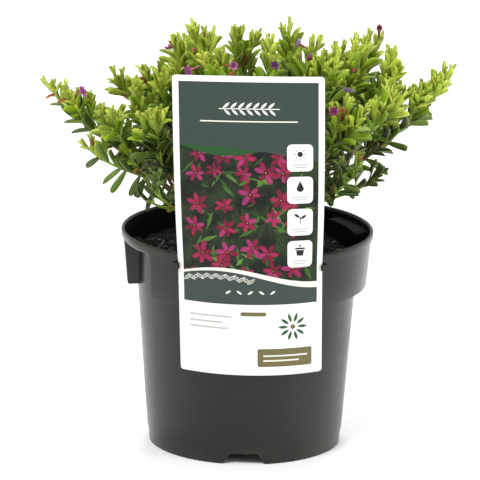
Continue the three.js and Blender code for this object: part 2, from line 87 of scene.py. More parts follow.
def placeCamera():
    data = bpy.data.cameras.new("photoCamera")
    data.lens = shot["lens"]
    data.sensor_width = 36
    data.clip_end = 60
    camera = bpy.data.objects.new("photoCamera", data)
    tilt = math.radians(shot["elevation"])
    back = Vector((0, -math.cos(tilt), math.sin(tilt)))
    camera.location = (Vector(shot["target"]) + back * shot["distance"]) * mm
    roll = Euler((0, 0, math.radians(shot["roll"]))).to_quaternion()
    camera.rotation_euler = (back.to_track_quat("Z", "Y") @ roll).to_euler()
    bpy.context.scene.collection.objects.link(camera)
    bpy.context.scene.camera = camera


studio = {
    "skyStrength": 0.6,
    "softboxes": [  # name, place in metres, side in metres, watts
        ("keySoftbox", (-0.7, -1.2, 1.8), 0.7, 36),
        ("fillSoftbox", (1.5, -0.7, 0.8), 0.9, 13),
        ("backSoftbox", (0.2, 1.2, 1.7), 0.9, 24),
    ],
    "floorSize": 14,  # metres
}


def lightStudio():
    world = bpy.data.worlds.new("paleStudio")
    world.use_nodes = True
    sky = world.node_tree.nodes["Background"]
    sky.inputs["Color"].default_value = (1, 1, 1, 1)
    sky.inputs["Strength"].default_value = studio["skyStrength"]
    bpy.context.scene.world = world
    for name, place, side, watts in studio["softboxes"]:
        data = bpy.data.lights.new(name, "AREA")
        data.size = side
        data.energy = watts
        box = bpy.data.objects.new(name, data)
        box.location = place
        box.rotation_euler = (Vector(place) - Vector((0, 0, 0.12))).to_track_quat("Z", "Y").to_euler()
        bpy.context.scene.collection.objects.link(box)
    bpy.context.scene.view_settings.view_transform = "Standard"


placeCamera()
lightStudio()
print("camera and light placed")


# Small helpers for node trees and meshes

def findSocket(sockets, key):
    if isinstance(key, int):
        return sockets[key]
    for socket in sockets:
        if socket.identifier == key:
            return socket
    return sockets[key]


def put(tree, kind, given=None, **settings):
    node = tree.nodes.new(kind)
    for name, value in settings.items():
        setattr(node, name, value)
    for key, value in (given or {}).items():
        socket = findSocket(node.inputs, key)
        if isinstance(value, bpy.types.NodeSocket):
            tree.links.new(value, socket)
        else:
            socket.default_value = value
    return node


def calc(tree, operation, a, b=0.0, c=0.0, clamp=False):
    node = put(tree, "ShaderNodeMath", {0: a, 1: b, 2: c}, operation=operation, use_clamp=clamp)
    return node.outputs[0]


def stepped(tree, value, low, high, fromLow=0.0, fromHigh=1.0):
    given = {"Value": value, "From Min": low, "From Max": high, "To Min": fromLow, "To Max": fromHigh}
    return put(tree, "ShaderNodeMapRange", given, interpolation_type="SMOOTHSTEP").outputs["Result"]


def mixed(tree, factor, a, b, blend="MIX"):
    given = {"Factor_Float": factor, "A_Color": a, "B_Color": b}
    node = put(tree, "ShaderNodeMix", given, data_type="RGBA", blend_type=blend)
    return findSocket(node.outputs, "Result_Color")


def colour(hexCode, share=1.0):
    parts = [((hexCode >> shift) & 255) / 255 for shift in (16, 8, 0)]
    linear = [c / 12.92 if c <= 0.04045 else ((c + 0.055) / 1.055) ** 2.4 for c in parts]
    return tuple(c * share for c in linear) + (1.0,)


def newGroup(name, inputs, outputs):
    group = bpy.data.node_groups.new(name, "ShaderNodeTree")
    for label, kind, value in inputs:
        group.interface.new_socket(label, in_out="INPUT", socket_type=kind).default_value = value
    for label, kind in outputs:
        group.interface.new_socket(label, in_out="OUTPUT", socket_type=kind)
    return group, put(group, "NodeGroupInput").outputs, put(group, "NodeGroupOutput").inputs


def useGroup(tree, group, **values):
    node = tree.nodes.new("ShaderNodeGroup")
    node.node_tree = group
    for name, value in values.items():
        socket = node.inputs[name]
        if isinstance(value, bpy.types.NodeSocket):
            tree.links.new(value, socket)
        else:
            socket.default_value = value
    return node.outputs


def newMaterial(name, **settings):
    material = bpy.data.materials.new(name)
    material.use_nodes = True
    tree = material.node_tree
    tree.nodes.clear()
    shader = put(tree, "ShaderNodeBsdfPrincipled", {k.replace("_", " "): v for k, v in settings.items()})
    put(tree, "ShaderNodeOutputMaterial", {"Surface": shader.outputs["BSDF"]})
    return material, tree, shader.inputs


def bumped(tree, height, distance, strength=1.0):
    given = {"Height": height, "Distance": distance, "Strength": strength}
    return put(tree, "ShaderNodeBump", given).outputs["Normal"]


def readAttribute(tree, name):
    return put(tree, "ShaderNodeAttribute", attribute_name=name).outputs


def newTree(name, inputs):
    tree = bpy.data.node_groups.new(name, "GeometryNodeTree")
    tree.interface.new_socket("Geometry", in_out="INPUT", socket_type="NodeSocketGeometry")
    for label, kind, value in inputs:
        socket = tree.interface.new_socket(label, in_out="INPUT", socket_type=kind)
        if value is not None:
            socket.default_value = value
    tree.interface.new_socket("Geometry", in_out="OUTPUT", socket_type="NodeSocketGeometry")
    return tree, put(tree, "NodeGroupInput").outputs, put(tree, "NodeGroupOutput").inputs


def stored(tree, name, kind):
    return put(tree, "GeometryNodeInputNamedAttribute", {"Name": name}, data_type=kind).outputs["Attribute"]


def linkPiece(name, mesh, *materials):
    for material in materials:
        mesh.materials.append(material)
    piece = bpy.data.objects.new(name, mesh)
    bpy.context.scene.collection.objects.link(piece)
    return piece


def meshOf(name, points, faces, edges=()):
    mesh = bpy.data.meshes.new(name)
    mesh.from_pydata([Vector(p) * mm for p in points], list(edges), faces)
    mesh.update()
    return mesh


def smoothed(mesh, sharpAngle=40):
    mesh.shade_smooth()
    mesh.set_sharp_from_angle(angle=math.radians(sharpAngle))
    return mesh


def outwards(mesh):
    work = bmesh.new()
    work.from_mesh(mesh)
    bmesh.ops.remove_doubles(work, verts=work.verts, dist=1e-7)
    bmesh.ops.recalc_face_normals(work, faces=work.faces)
    work.to_mesh(mesh)
    work.free()
    return mesh


# Runs a geometry tree on a piece and keeps the plain mesh that it makes
def grow(piece, tree, drop=(), **values):
    modifier = piece.modifiers.new(tree.name, "NODES")
    modifier.node_group = tree
    for item in tree.interface.items_tree:
        if item.item_type == "SOCKET" and item.in_out == "INPUT" and item.name in values:
            modifier[item.identifier] = values[item.name]
    view = bpy.context.evaluated_depsgraph_get()
    grown = bpy.data.meshes.new_from_object(piece.evaluated_get(view))
    piece.modifiers.remove(modifier)
    old = piece.data
    piece.data = grown
    bpy.data.meshes.remove(old)
    grown.name = piece.name
    for name in drop:
        if name in grown.attributes:
            grown.attributes.remove(grown.attributes[name])
    return piece


# Shader groups that several finishes share

def makeDriftGroup():
    group, given, result = newGroup(
        "colourDrift",
        [
            ("Base", "NodeSocketColor", (0.5, 0.5, 0.5, 1)),
            ("Other", "NodeSocketColor", (0.3, 0.3, 0.3, 1)),
            ("Scale", "NodeSocketFloat", 60.0),
            ("Amount", "NodeSocketFloat", 0.5),
        ],
        [("Color", "NodeSocketColor"), ("Mask", "NodeSocketFloat")],
    )
    place = put(group, "ShaderNodeTexCoord").outputs["Object"]
    cloud = put(group, "ShaderNodeTexNoise", {"Vector": place, "Scale": given["Scale"], "Detail": 5.0})
    mask = stepped(group, cloud.outputs["Fac"], 0.35, 0.65)
    share = calc(group, "MULTIPLY", mask, given["Amount"], clamp=True)
    group.links.new(mixed(group, share, given["Base"], given["Other"]), result["Color"])
    group.links.new(mask, result["Mask"])
    return group


def makeGrainGroup():
    group, given, result = newGroup(
        "fineGrain",
        [("Scale", "NodeSocketFloat", 900.0), ("Streaks", "NodeSocketFloat", 0.3)],
        [("Height", "NodeSocketFloat"), ("Streak Mask", "NodeSocketFloat")],
    )
    place = put(group, "ShaderNodeTexCoord").outputs["Object"]
    fine = put(group, "ShaderNodeTexNoise", {"Vector": place, "Scale": given["Scale"], "Detail": 3.0})
    long = put(group, "ShaderNodeMapping", {"Vector": place, "Scale": (420, 420, 14)}).outputs["Vector"]
    drawn = put(group, "ShaderNodeTexNoise", {"Vector": long, "Scale": 1.0, "Detail": 4.0}).outputs["Fac"]
    streak = stepped(group, drawn, 0.56, 0.74)
    faint = calc(group, "MULTIPLY", streak, given["Streaks"])
    group.links.new(calc(group, "ADD", fine.outputs["Fac"], faint), result["Height"])
    group.links.new(streak, result["Streak Mask"])
    return group


def makeDustGroup():
    group, given, result = newGroup(
        "dustSpecks",
        [("Scale", "NodeSocketFloat", 700.0), ("Amount", "NodeSocketFloat", 0.3)],
        [("Mask", "NodeSocketFloat")],
    )
    place = put(group, "ShaderNodeTexCoord").outputs["Object"]
    cells = put(group, "ShaderNodeTexVoronoi", {"Vector": place, "Scale": given["Scale"]})
    patch = put(group, "ShaderNodeTexNoise", {"Vector": place, "Scale": 38.0, "Detail": 4.0})
    speck = stepped(group, cells.outputs["Distance"], 0.22, 0.08)
    where = stepped(group, patch.outputs["Fac"], 0.48, 0.7)
    both = calc(group, "MULTIPLY", speck, where)
    group.links.new(calc(group, "MULTIPLY", both, given["Amount"], clamp=True), result["Mask"])
    return group


# Midrib and slanting side veins of a leaf or petal, from its own UV map
def makeVeinGroup():
    group, given, result = newGroup(
        "leafVeins",
        [("Pairs", "NodeSocketFloat", 7.0), ("Slant", "NodeSocketFloat", 1.6)],
        [("Midrib", "NodeSocketFloat"), ("Veins", "NodeSocketFloat"), ("Across", "NodeSocketFloat")],
    )
    place = put(group, "ShaderNodeUVMap", uv_map="UVMap").outputs["UV"]
    parts = put(group, "ShaderNodeSeparateXYZ", {"Vector": place}).outputs
    across = calc(group, "ABSOLUTE", calc(group, "SUBTRACT", parts["Y"], 0.5))
    group.links.new(stepped(group, across, 0.075, 0.0), result["Midrib"])
    slid = calc(group, "SUBTRACT", parts["X"], calc(group, "MULTIPLY", across, given["Slant"]))
    wave = calc(group, "FRACT", calc(group, "MULTIPLY", slid, given["Pairs"]))
    line = calc(group, "ABSOLUTE", calc(group, "SUBTRACT", wave, 0.5))
    group.links.new(stepped(group, line, 0.11, 0.0), result["Veins"])
    group.links.new(calc(group, "MULTIPLY", across, 2.0), result["Across"])
    return group


colourDrift = makeDriftGroup()
fineGrain = makeGrainGroup()
dustSpecks = makeDustGroup()
leafVeins = makeVeinGroup()


# Finishes

potFinish = {
    "plastic": 0x0e0e0d,
    "worn": 0x181715,
    "dust": 0x4a453c,
    "roughness": 0.23,
    # inside: painted shade, the near-black colour put on the pot's inside and on ledges that face up below
    # the rim
    "inside": 0x090807,
}


def makePotMaterial():
    look = potFinish
    material, tree, shader = newMaterial("nurseryPlastic", IOR=1.43, Specular_Tint=(1.0, 0.985, 0.945, 1.0))
    grain = useGroup(tree, fineGrain, Scale=1400.0, Streaks=0.5)
    drift = useGroup(tree, colourDrift, Base=colour(look["plastic"]), Other=colour(look["worn"]), Scale=30.0,
                     Amount=0.6)
    dust = useGroup(tree, dustSpecks, Scale=620.0, Amount=0.5)["Mask"]
    place = put(tree, "ShaderNodeTexCoord").outputs["Object"]
    height = put(tree, "ShaderNodeSeparateXYZ", {"Vector": place}).outputs["Z"]
    lip = stepped(tree, height, 0.1172, 0.1208)
    low = stepped(tree, height, 0.012, 0.0)
    normal = put(tree, "ShaderNodeNewGeometry").outputs["Normal"]
    outwardPart = put(tree, "ShaderNodeVectorMath", {0: place, 1: (1, 1, 0)}, operation="MULTIPLY").outputs[0]
    facing = put(tree, "ShaderNodeVectorMath", {0: outwardPart, 1: normal},
                 operation="DOT_PRODUCT").outputs["Value"]
    upward = put(tree, "ShaderNodeSeparateXYZ", {"Vector": normal}).outputs["Z"]
    # painted shade: faces that look inward, and faces that look up below the rim such as the recess shelves,
    # get a darker colour and a weaker reflection
    shadeFaces = calc(tree, "MAXIMUM", stepped(tree, facing, -0.001, -0.02), stepped(tree, upward, 0.4, 0.7))
    inside = calc(tree, "MULTIPLY", shadeFaces, stepped(tree, height, 0.1202, 0.1192))
    rubbed = calc(tree, "MULTIPLY", calc(tree, "ADD", lip, low), drift["Mask"])
    worn = mixed(tree, calc(tree, "MULTIPLY", rubbed, 0.5), drift["Color"], colour(look["dust"], 0.6))
    dusty = mixed(tree, dust, worn, colour(look["dust"]))
    # painted shade: the inside colour is mixed in over the shaded inside of the pot
    insideShaded = mixed(tree, inside, dusty, colour(look["inside"]))
    tree.links.new(mixed(tree, calc(tree, "MULTIPLY", dust, inside), insideShaded, colour(look["dust"])),
                   shader["Base Color"])
    tree.links.new(calc(tree, "MULTIPLY_ADD", inside, -0.42, 0.5), shader["Specular IOR Level"])
    uneven = calc(tree, "MULTIPLY_ADD", drift["Mask"], 0.06, look["roughness"])
    scuffed = calc(tree, "MULTIPLY_ADD", grain["Streak Mask"], 0.07, uneven)
    dull = calc(tree, "ADD", calc(tree, "MULTIPLY", dust, 0.4), calc(tree, "MULTIPLY", inside, 0.45))
    tree.links.new(calc(tree, "ADD", dull, scuffed, clamp=True), shader["Roughness"])
    tree.links.new(bumped(tree, grain["Height"], 0.000016), shader["Normal"])
    return material


def makeSoilMaterial():
    material, tree, shader = newMaterial("barkCompost", Specular_IOR_Level=0.1)
    drift = useGroup(tree, colourDrift, Base=colour(0x070605), Other=colour(0x100c09), Scale=190.0,
                     Amount=0.9)
    dust = useGroup(tree, dustSpecks, Scale=900.0, Amount=0.7)["Mask"]
    tree.links.new(mixed(tree, dust, drift["Color"], colour(0x3a2d21)), shader["Base Color"])
    place = put(tree, "ShaderNodeTexCoord").outputs["Object"]
    crumb = put(tree, "ShaderNodeTexNoise", {"Vector": place, "Scale": 600.0, "Detail": 7.0}).outputs["Fac"]
    tree.links.new(calc(tree, "MULTIPLY_ADD", crumb, 0.2, 0.75), shader["Roughness"])
    tree.links.new(bumped(tree, crumb, 0.0012), shader["Normal"])
    return material


def makeChipMaterial():
    material, tree, shader = newMaterial("barkChips", Specular_IOR_Level=0.6)
    tint = readAttribute(tree, "chipTint")["Fac"]
    dark = mixed(tree, stepped(tree, tint, 0.25, 0.85), colour(0x080605), colour(0x22180f))
    pale = mixed(tree, stepped(tree, tint, 0.965, 0.98), dark, colour(0x9a8d72))
    drift = useGroup(tree, colourDrift, Base=pale, Other=colour(0x0e0a08), Scale=420.0, Amount=0.7)
    tree.links.new(drift["Color"], shader["Base Color"])
    grain = useGroup(tree, fineGrain, Scale=1100.0, Streaks=0.8)
    tree.links.new(calc(tree, "MULTIPLY_ADD", drift["Mask"], 0.25, 0.36), shader["Roughness"])
    tree.links.new(bumped(tree, grain["Height"], 0.0005), shader["Normal"])
    return material


def makeBarkMaterial():
    material, tree, shader = newMaterial("thinBark", Specular_IOR_Level=0.3)
    drift = useGroup(tree, colourDrift, Base=colour(0x4a3626), Other=colour(0x2a2018), Scale=240.0,
                     Amount=0.9)
    grain = useGroup(tree, fineGrain, Scale=800.0, Streaks=1.2)
    lit = mixed(tree, calc(tree, "MULTIPLY", grain["Streak Mask"], 0.5), drift["Color"], colour(0x7b6650))
    tree.links.new(lit, shader["Base Color"])
    tree.links.new(calc(tree, "MULTIPLY_ADD", drift["Mask"], 0.15, 0.72), shader["Roughness"])
    tree.links.new(bumped(tree, grain["Height"], 0.0006), shader["Normal"])
    return material


# Stems are green at their tips, reddish lower down and brown at the foot; calyxes are green and purple
def makeStemMaterial():
    material, tree, shader = newMaterial("greenStem", Specular_IOR_Level=0.4)
    age = readAttribute(tree, "age")["Fac"]
    calyx = readAttribute(tree, "calyx")["Fac"]
    young = mixed(tree, stepped(tree, age, 0.15, 0.5), colour(0x86a83a), colour(0x7a5a34))
    old = mixed(tree, stepped(tree, age, 0.5, 0.95), young, colour(0x43301f))
    flushed = mixed(tree, stepped(tree, calyx, 0.3, 1.0), colour(0x8f9a48), colour(0x9a3f4e))
    both = mixed(tree, stepped(tree, calyx, 0.02, 0.1), old, flushed)
    drift = useGroup(tree, colourDrift, Base=both, Other=colour(0x3c2a1c), Scale=330.0, Amount=0.3)
    tree.links.new(drift["Color"], shader["Base Color"])
    grain = useGroup(tree, fineGrain, Scale=1500.0, Streaks=0.6)
    tree.links.new(calc(tree, "MULTIPLY_ADD", drift["Mask"], 0.15, 0.5), shader["Roughness"])
    tree.links.new(bumped(tree, grain["Height"], 0.00015), shader["Normal"])
    return material


leafFinish = {
    "tip": 0xdef054,
    "young": 0x9ec422,
    "grown": 0x4e6a17,
    "old": 0x263317,
    # painted shade: the next two entries give the dark green and how strongly a random share of leaves is
    # darkened towards it, standing in for leaves in shadow
    "shade": 0x32450f,
    "shadedLeafShare": 0.6,
    "flush": 0xa8552a,
    "yellowed": 0xc8a024,
}


def makeLeafMaterial():
    look = leafFinish
    material, tree, shader = newMaterial("falseHeatherLeaf", Subsurface_Weight=0.12, Specular_IOR_Level=0.45)
    shader["Subsurface Radius"].default_value = (0.6, 1.0, 0.2)
    shader["Subsurface Scale"].default_value = 0.0015
    age = readAttribute(tree, "age")["Fac"]
    tint = readAttribute(tree, "tint")["Fac"]
    # the age attribute of the leaves also carries painted shade low down and inside the crown, so this ramp
    # paints shade as well as age
    yearsAndShade = calc(tree, "ADD", age, calc(tree, "MULTIPLY_ADD", tint, 0.3, -0.15), clamp=True)
    first = mixed(tree, stepped(tree, yearsAndShade, 0.0, 0.28), colour(look["tip"]), colour(look["young"]))
    second = mixed(tree, stepped(tree, yearsAndShade, 0.25, 0.6), first, colour(look["grown"]))
    third = mixed(tree, stepped(tree, yearsAndShade, 0.6, 0.95), second, colour(look["old"]))
    uneven = calc(tree, "FRACT", calc(tree, "MULTIPLY", tint, 37.0))  # a second draw for each leaf
    # painted shade: leaves with a high second draw are darkened towards the shade green
    depth = calc(tree, "MULTIPLY", calc(tree, "POWER", uneven, 3.0), look["shadedLeafShare"])
    shaded = mixed(tree, depth, third, colour(look["shade"]))
    flushed = mixed(tree, stepped(tree, tint, 0.985, 0.99), shaded, colour(look["flush"]))
    flushed = mixed(tree, stepped(tree, tint, 1.5, 1.6), flushed, colour(look["yellowed"]))
    veins = useGroup(tree, leafVeins, Pairs=7.0, Slant=1.6)
    ribbed = mixed(tree, calc(tree, "MULTIPLY", veins["Midrib"], 0.45), flushed, colour(0xd2e08a))
    netted = mixed(tree, calc(tree, "MULTIPLY", veins["Veins"], 0.12), ribbed, colour(0x34421a))
    rim = calc(tree, "MULTIPLY", stepped(tree, veins["Across"], 0.8, 1.0), 0.25)
    edged = mixed(tree, rim, netted, colour(0xdbe58e))
    drift = useGroup(tree, colourDrift, Base=edged, Other=colour(0x5c701f), Scale=150.0, Amount=0.25)
    tree.links.new(drift["Color"], shader["Base Color"])
    tree.links.new(calc(tree, "MULTIPLY_ADD", drift["Mask"], 0.16, 0.36), shader["Roughness"])
    furrow = calc(tree, "ADD", veins["Midrib"], calc(tree, "MULTIPLY", veins["Veins"], 0.4))
    tree.links.new(bumped(tree, calc(tree, "MULTIPLY", furrow, -1.0), 0.00025), shader["Normal"])
    return material


def makePetalMaterial(name, hexCode):
    material, tree, shader = newMaterial(name, Subsurface_Weight=0.15, Sheen_Weight=0.3)
    shader["Subsurface Scale"].default_value = 0.001
    veins = useGroup(tree, leafVeins, Pairs=5.0, Slant=2.4)
    place = put(tree, "ShaderNodeUVMap", uv_map="UVMap").outputs["UV"]
    along = put(tree, "ShaderNodeSeparateXYZ", {"Vector": place}).outputs["X"]
    throat = mixed(tree, stepped(tree, along, 0.0, 0.45), colour(hexCode, 0.35), colour(hexCode, 1.15))
    lined = mixed(tree, calc(tree, "MULTIPLY", veins["Veins"], 0.25), throat, colour(hexCode, 0.4))
    ribbed = mixed(tree, calc(tree, "MULTIPLY", veins["Midrib"], 0.4), lined, colour(hexCode, 0.5))
    drift = useGroup(tree, colourDrift, Base=ribbed, Other=colour(hexCode, 0.7), Scale=500.0, Amount=0.4)
    tree.links.new(drift["Color"], shader["Base Color"])
    tree.links.new(calc(tree, "MULTIPLY_ADD", drift["Mask"], 0.2, 0.5), shader["Roughness"])
    crinkle = calc(tree, "ADD", veins["Veins"], drift["Mask"])
    tree.links.new(bumped(tree, crinkle, 0.0001), shader["Normal"])
    return material


def makeCardMaterial():
    material, tree, shader = newMaterial("printedCard", Specular_IOR_Level=0.22)
    ink = readAttribute(tree, "ink")["Color"]
    depth = readAttribute(tree, "photoDepth")["Fac"]
    place = put(tree, "ShaderNodeTexCoord").outputs["Object"]
    blur = put(tree, "ShaderNodeTexNoise", {"Vector": place, "Scale": 90.0, "Detail": 3.0}).outputs["Fac"]
    shade = mixed(tree, stepped(tree, blur, 0.35, 0.68), (0.3, 0.3, 0.3, 1), (1.9, 2.0, 1.3, 1))
    deep = mixed(tree, depth, (1, 1, 1, 1), shade)
    printed = mixed(tree, 1.0, ink, deep, blend="MULTIPLY")
    dust = useGroup(tree, dustSpecks, Scale=800.0, Amount=0.25)["Mask"]
    tree.links.new(mixed(tree, dust, printed, colour(0x6b6256)), shader["Base Color"])
    grain = useGroup(tree, fineGrain, Scale=2400.0, Streaks=0.4)
    tree.links.new(calc(tree, "MULTIPLY_ADD", grain["Streak Mask"], 0.1, 0.36), shader["Roughness"])
    tree.links.new(bumped(tree, grain["Height"], 0.00002), shader["Normal"])
    return material


def makeFloorMaterial():
    material, tree, shader = newMaterial("paleFloor", Roughness=0.6)
    drift = useGroup(tree, colourDrift, Base=(0.93, 0.93, 0.93, 1), Other=(0.9, 0.9, 0.9, 1), Scale=3.0,
                     Amount=0.5)
    tree.links.new(drift["Color"], shader["Base Color"])
    return material


potMaterial = makePotMaterial()
soilMaterial = makeSoilMaterial()
chipMaterial = makeChipMaterial()
barkMaterial = makeBarkMaterial()
stemMaterial = makeStemMaterial()
leafMaterial = makeLeafMaterial()
cardMaterial = makeCardMaterial()
print("finishes made")


def makeFloor():
    half = studio["floorSize"] / 2 / mm
    corners = [(-half, -half, 0), (half, -half, 0), (half, half, 0), (-half, half, 0)]
    floor = linkPiece("floor", meshOf("floor", corners, [(0, 1, 2, 3)]), makeFloorMaterial())


makeFloor()


# Rules shared by the pieces

def jitter(a, b, c):
    wave = math.sin(a * 12.9898 + b * 78.233 + c * 37.719) * 43758.5453
    return wave - math.floor(wave)


def spread(a, b, c, amount):
    return (jitter(a, b, c) * 2 - 1) * amount


def smooth(value):
    t = min(max(value, 0), 1)
    return t * t * (3 - 2 * t)


# A point round the pot's axis, where angle 0 is the front and grows towards +X
def around(degrees, radius, height=0.0):
    angle = math.radians(degrees)
    return Vector((radius * math.sin(angle), -radius * math.cos(angle), height))


# Pot: one wall that runs under the foot, up the outside, over the lip and down the inside

potPlan = {
    "height": 121,
    "rim": 70,
    "foot": 54,
    "bodyTop": 60.6,
    "collarFootHeight": 90.4,
    "wall": 1.5,
    "floorTop": 8,
    "floorUnder": 6.5,
    "notches": 4,
    "notchHeight": 5.8,
    "notchHalfTop": 7.5,
    "notchHalfFoot": 11.75,
    "drains": 6,
    "drainRadius": 3.5,
    "drainCircle": 34,
    "recessAngles": (-65.5, 114.5),
    "recessHalf": 14.5,  # degrees, on the outside
    "recessHalfInside": 15.9,
    "recessSoft": 0.42,
    "columns": 180,
}


def bodyRadius(height):
    plan = potPlan
    return plan["foot"] + (plan["bodyTop"] - plan["foot"]) * (height - 0.8) / (plan["collarFootHeight"] - 0.8)


# Rows of the wall as (radius, height) beside the collar and (radius, height) in a recess, with their side
def potRows():
    plan = potPlan
    top, under = plan["floorTop"], plan["floorUnder"]
    foot = [(51.6, 0), (53.2, 0), (53.77, 0.23), (plan["foot"], 0.8)]
    body = [(bodyRadius(z), z) for z in (8, 20, 36, 52, 68, 80, 87)]
    collar = [(60.6, 89.9), (60.75, 90.25), (61.1, 90.4), (65.9, 90.4), (66.5, 90.63), (66.72, 91.2),
              (67.5, 100), (68.25, 109), (68.8, 114.8), (68.86, 115.5), (68.92, 116.1), (69, 116.8)]
    fallen = [(60.6, 89.9), (60.61, 90.25), (60.62, 90.7), (60.64, 91.6), (60.68, 93), (60.7, 95),
              (60.78, 101), (60.85, 108), (60.9, 115), (61.3, 115.5), (68.4, 115.5), (69, 116)]
    lip = [(69.3, 117), (69.8, 117.15), (plan["rim"], 117.6), (plan["rim"], 120.1), (69.87, 120.6),
           (69.5, 120.9), (69.1, plan["height"]), (68.65, 120.9), (68.3, 120.6), (68.1, 120)]
    collarInside = [(67.5, 117.6), (67.3, 117), (67, 114), (66.2, 107), (65.2, 99), (64.6, 93.6),
                    (64.4, 93.35), (59.5, 92), (59.1, 91.6)]
    fallenInside = [(67.4, 117.2), (66.8, 117), (60, 117), (59.45, 116.6), (59.4, 110), (59.35, 103),
                    (59.3, 97), (59.2, 93), (59.1, 91.6)]
    inside = [(bodyRadius(z) - plan["wall"], z) for z in (80, 60, 40, 20, 10.5)]
    floor = [(52.2, 8.8)] + [(radius, top) for radius in (51, 44, 24, 8)]
    below = [(radius, under) for radius in (8, 24, 44, 51.6)]
    rows = [(p, p, "foot") for p in foot] + [(p, p, "plain") for p in body]
    rows += [(a, b, "outside") for a, b in zip(collar, fallen)]
    rows += [(p, p, "plain") for p in lip]
    rows += [(a, b, "inside") for a, b in zip(collarInside, fallenInside)]
    return rows + [(p, p, "plain") for p in inside + floor + below]


def turnBetween(a, b):
    return abs((a - b + 180) % 360 - 180)


def potColumns():
    plan = potPlan
    special = []
    for middle in plan["recessAngles"]:
        for half in (plan["recessHalf"], plan["recessHalfInside"]):
            for step in (-0.42, -0.21, 0, 0.21, 0.42):
                special += [middle - half - step, middle + half + step]
    degree = math.radians(1) * plan["foot"]
    for i in range(plan["notches"]):
        for half in (plan["notchHalfTop"], plan["notchHalfFoot"]):
            for step in (-0.4, 0.4):
                special += [90 * i - (half + step) / degree, 90 * i + (half + step) / degree]
    special = [angle % 360 for angle in special]
    even = [360 * i / plan["columns"] for i in range(plan["columns"])]
    kept = [a for a in even if all(turnBetween(a, b) > 0.25 for b in special)]
    return sorted(kept + special)


def recessShare(angle, half):
    soft = potPlan["recessSoft"]
    near = min(turnBetween(angle, middle) for middle in potPlan["recessAngles"])
    return 1 - smooth((near - half + soft) / (2 * soft))


def notchLift(angle):
    plan = potPlan
    off = min(turnBetween(angle, 360 * i / plan["notches"]) for i in range(plan["notches"]))
    away = math.radians(off) * plan["foot"]
    slope = (plan["notchHalfFoot"] - away) / (plan["notchHalfFoot"] - plan["notchHalfTop"])
    return plan["notchHeight"] * min(max(slope, 0), 1)


def makePot():
    rows, columns = potRows(), potColumns()
    hubs = [(8, potPlan["floorTop"]), (8, potPlan["floorUnder"])]
    points, faces = [], []
    for angle in columns:
        shares = {
            "outside": recessShare(angle, potPlan["recessHalf"]),
            "inside": recessShare(angle, potPlan["recessHalfInside"]),
        }
        lift = notchLift(angle)
        for plain, fallen, side in rows:
            share = shares.get(side, 0)
            radius = plain[0] + (fallen[0] - plain[0]) * share
            height = plain[1] + (fallen[1] - plain[1]) * share + (lift if side == "foot" else 0)
            points.append(around(angle, radius, height))
    count, total = len(rows), len(columns)
    for i in range(total):
        here, there = i * count, (i + 1) % total * count
        for j in range(count):
            k = (j + 1) % count
            if rows[j][0] == hubs[0]:
                continue
            faces.append((here + j, there + j, there + k, here + k))
    for hub in hubs:  # the middle of the floor, above and below
        row = [r[0] for r in rows].index(hub)
        points.append((0, 0, hub[1]))
        for i in range(total):
            faces.append((i * count + row, (i + 1) % total * count + row, len(points) - 1))
    shell = linkPiece("potShell", outwards(meshOf("potShell", points, faces)), potMaterial)
    cutDrains(shell)
    smoothed(shell.data, 34)
    return shell


def cutDrains(shell):
    plan = potPlan
    work = bmesh.new()
    for i in range(plan["drains"]):
        spot = around(360 * (i + 0.5) / plan["drains"], plan["drainCircle"], 7.2) * mm
        bmesh.ops.create_cone(work, cap_ends=True, segments=32, radius1=plan["drainRadius"] * mm,
                              radius2=plan["drainRadius"] * mm, depth=6 * mm, matrix=Matrix.Translation(spot))
    mesh = bpy.data.meshes.new("drainPlugs")
    work.to_mesh(mesh)
    work.free()
    plugs = linkPiece("drainPlugs", mesh, potMaterial)
    cut = shell.modifiers.new("drains", "BOOLEAN")
    cut.operation = "DIFFERENCE"
    cut.solver = "EXACT"
    cut.object = plugs
    view = bpy.context.evaluated_depsgraph_get()
    pierced = bpy.data.meshes.new_from_object(shell.evaluated_get(view))
    shell.modifiers.remove(cut)
    shell.data = pierced
    bpy.data.objects.remove(plugs)


pot = makePot()
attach(pot, "root")
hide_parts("pot")
print("pot made:", len(pot.data.polygons), "faces")


# Picture card, bent round the collar and leaning out above it

cardPlan = {
    "width": 81,
    "thickness": 0.6,
    "foot": 54,
    "top": 223.5,
    "rimHeight": 117,
    "centre": 1.7,
    "lean": -0.0245,
    "footFront": -62.9,
    "rimFront": -71.1,
    "topFront": -78.6,
    "footBend": 0.0148,
    "rimBend": 0.0131,
    "corner": 1.6,
    "printHalf": 37.2,  # from the middle to the white border
    "seed": 11,
}


def cardLine(height):
    plan = cardPlan
    shift = height - plan["rimHeight"]
    if shift < 0:
        part = (height - plan["foot"]) / (plan["rimHeight"] - plan["foot"])
        front = plan["footFront"] + (plan["rimFront"] - plan["footFront"]) * part
        bend = plan["footBend"] + (plan["rimBend"] - plan["footBend"]) * part
    else:
        part = shift / (plan["top"] - plan["rimHeight"])
        front = plan["rimFront"] + (plan["topFront"] - plan["rimFront"]) * part
        bend = plan["rimBend"] * math.exp(-shift / 75) - 0.0015 * smooth(shift / 90)
    return plan["centre"] + plan["lean"] * shift, front, bend


def cardPoint(across, height, off):
    centre, front, bend = cardLine(height)
    turn = across * bend
    radius = 1 / bend + off
    return Vector((centre + radius * math.sin(turn), front + 1 / bend - radius * math.cos(turn), height))


# Flat shapes of the print, in millimetres on the card, each with its ink; a later shape covers an earlier one
inks = {
    "paper": 0xf4f4f0,
    "slate": 0x4c5d57,
    "meadow": 0x2f6e36,
    "photo": 0x263423,
    "band": 0x53625c,
    "mark": 0x2c322f,
    "soft": 0xb9bdb8,
    "tan": 0x9a9160,
    "sprig": 0x3f7a45,
    "cream": 0xe9ecdf,
}


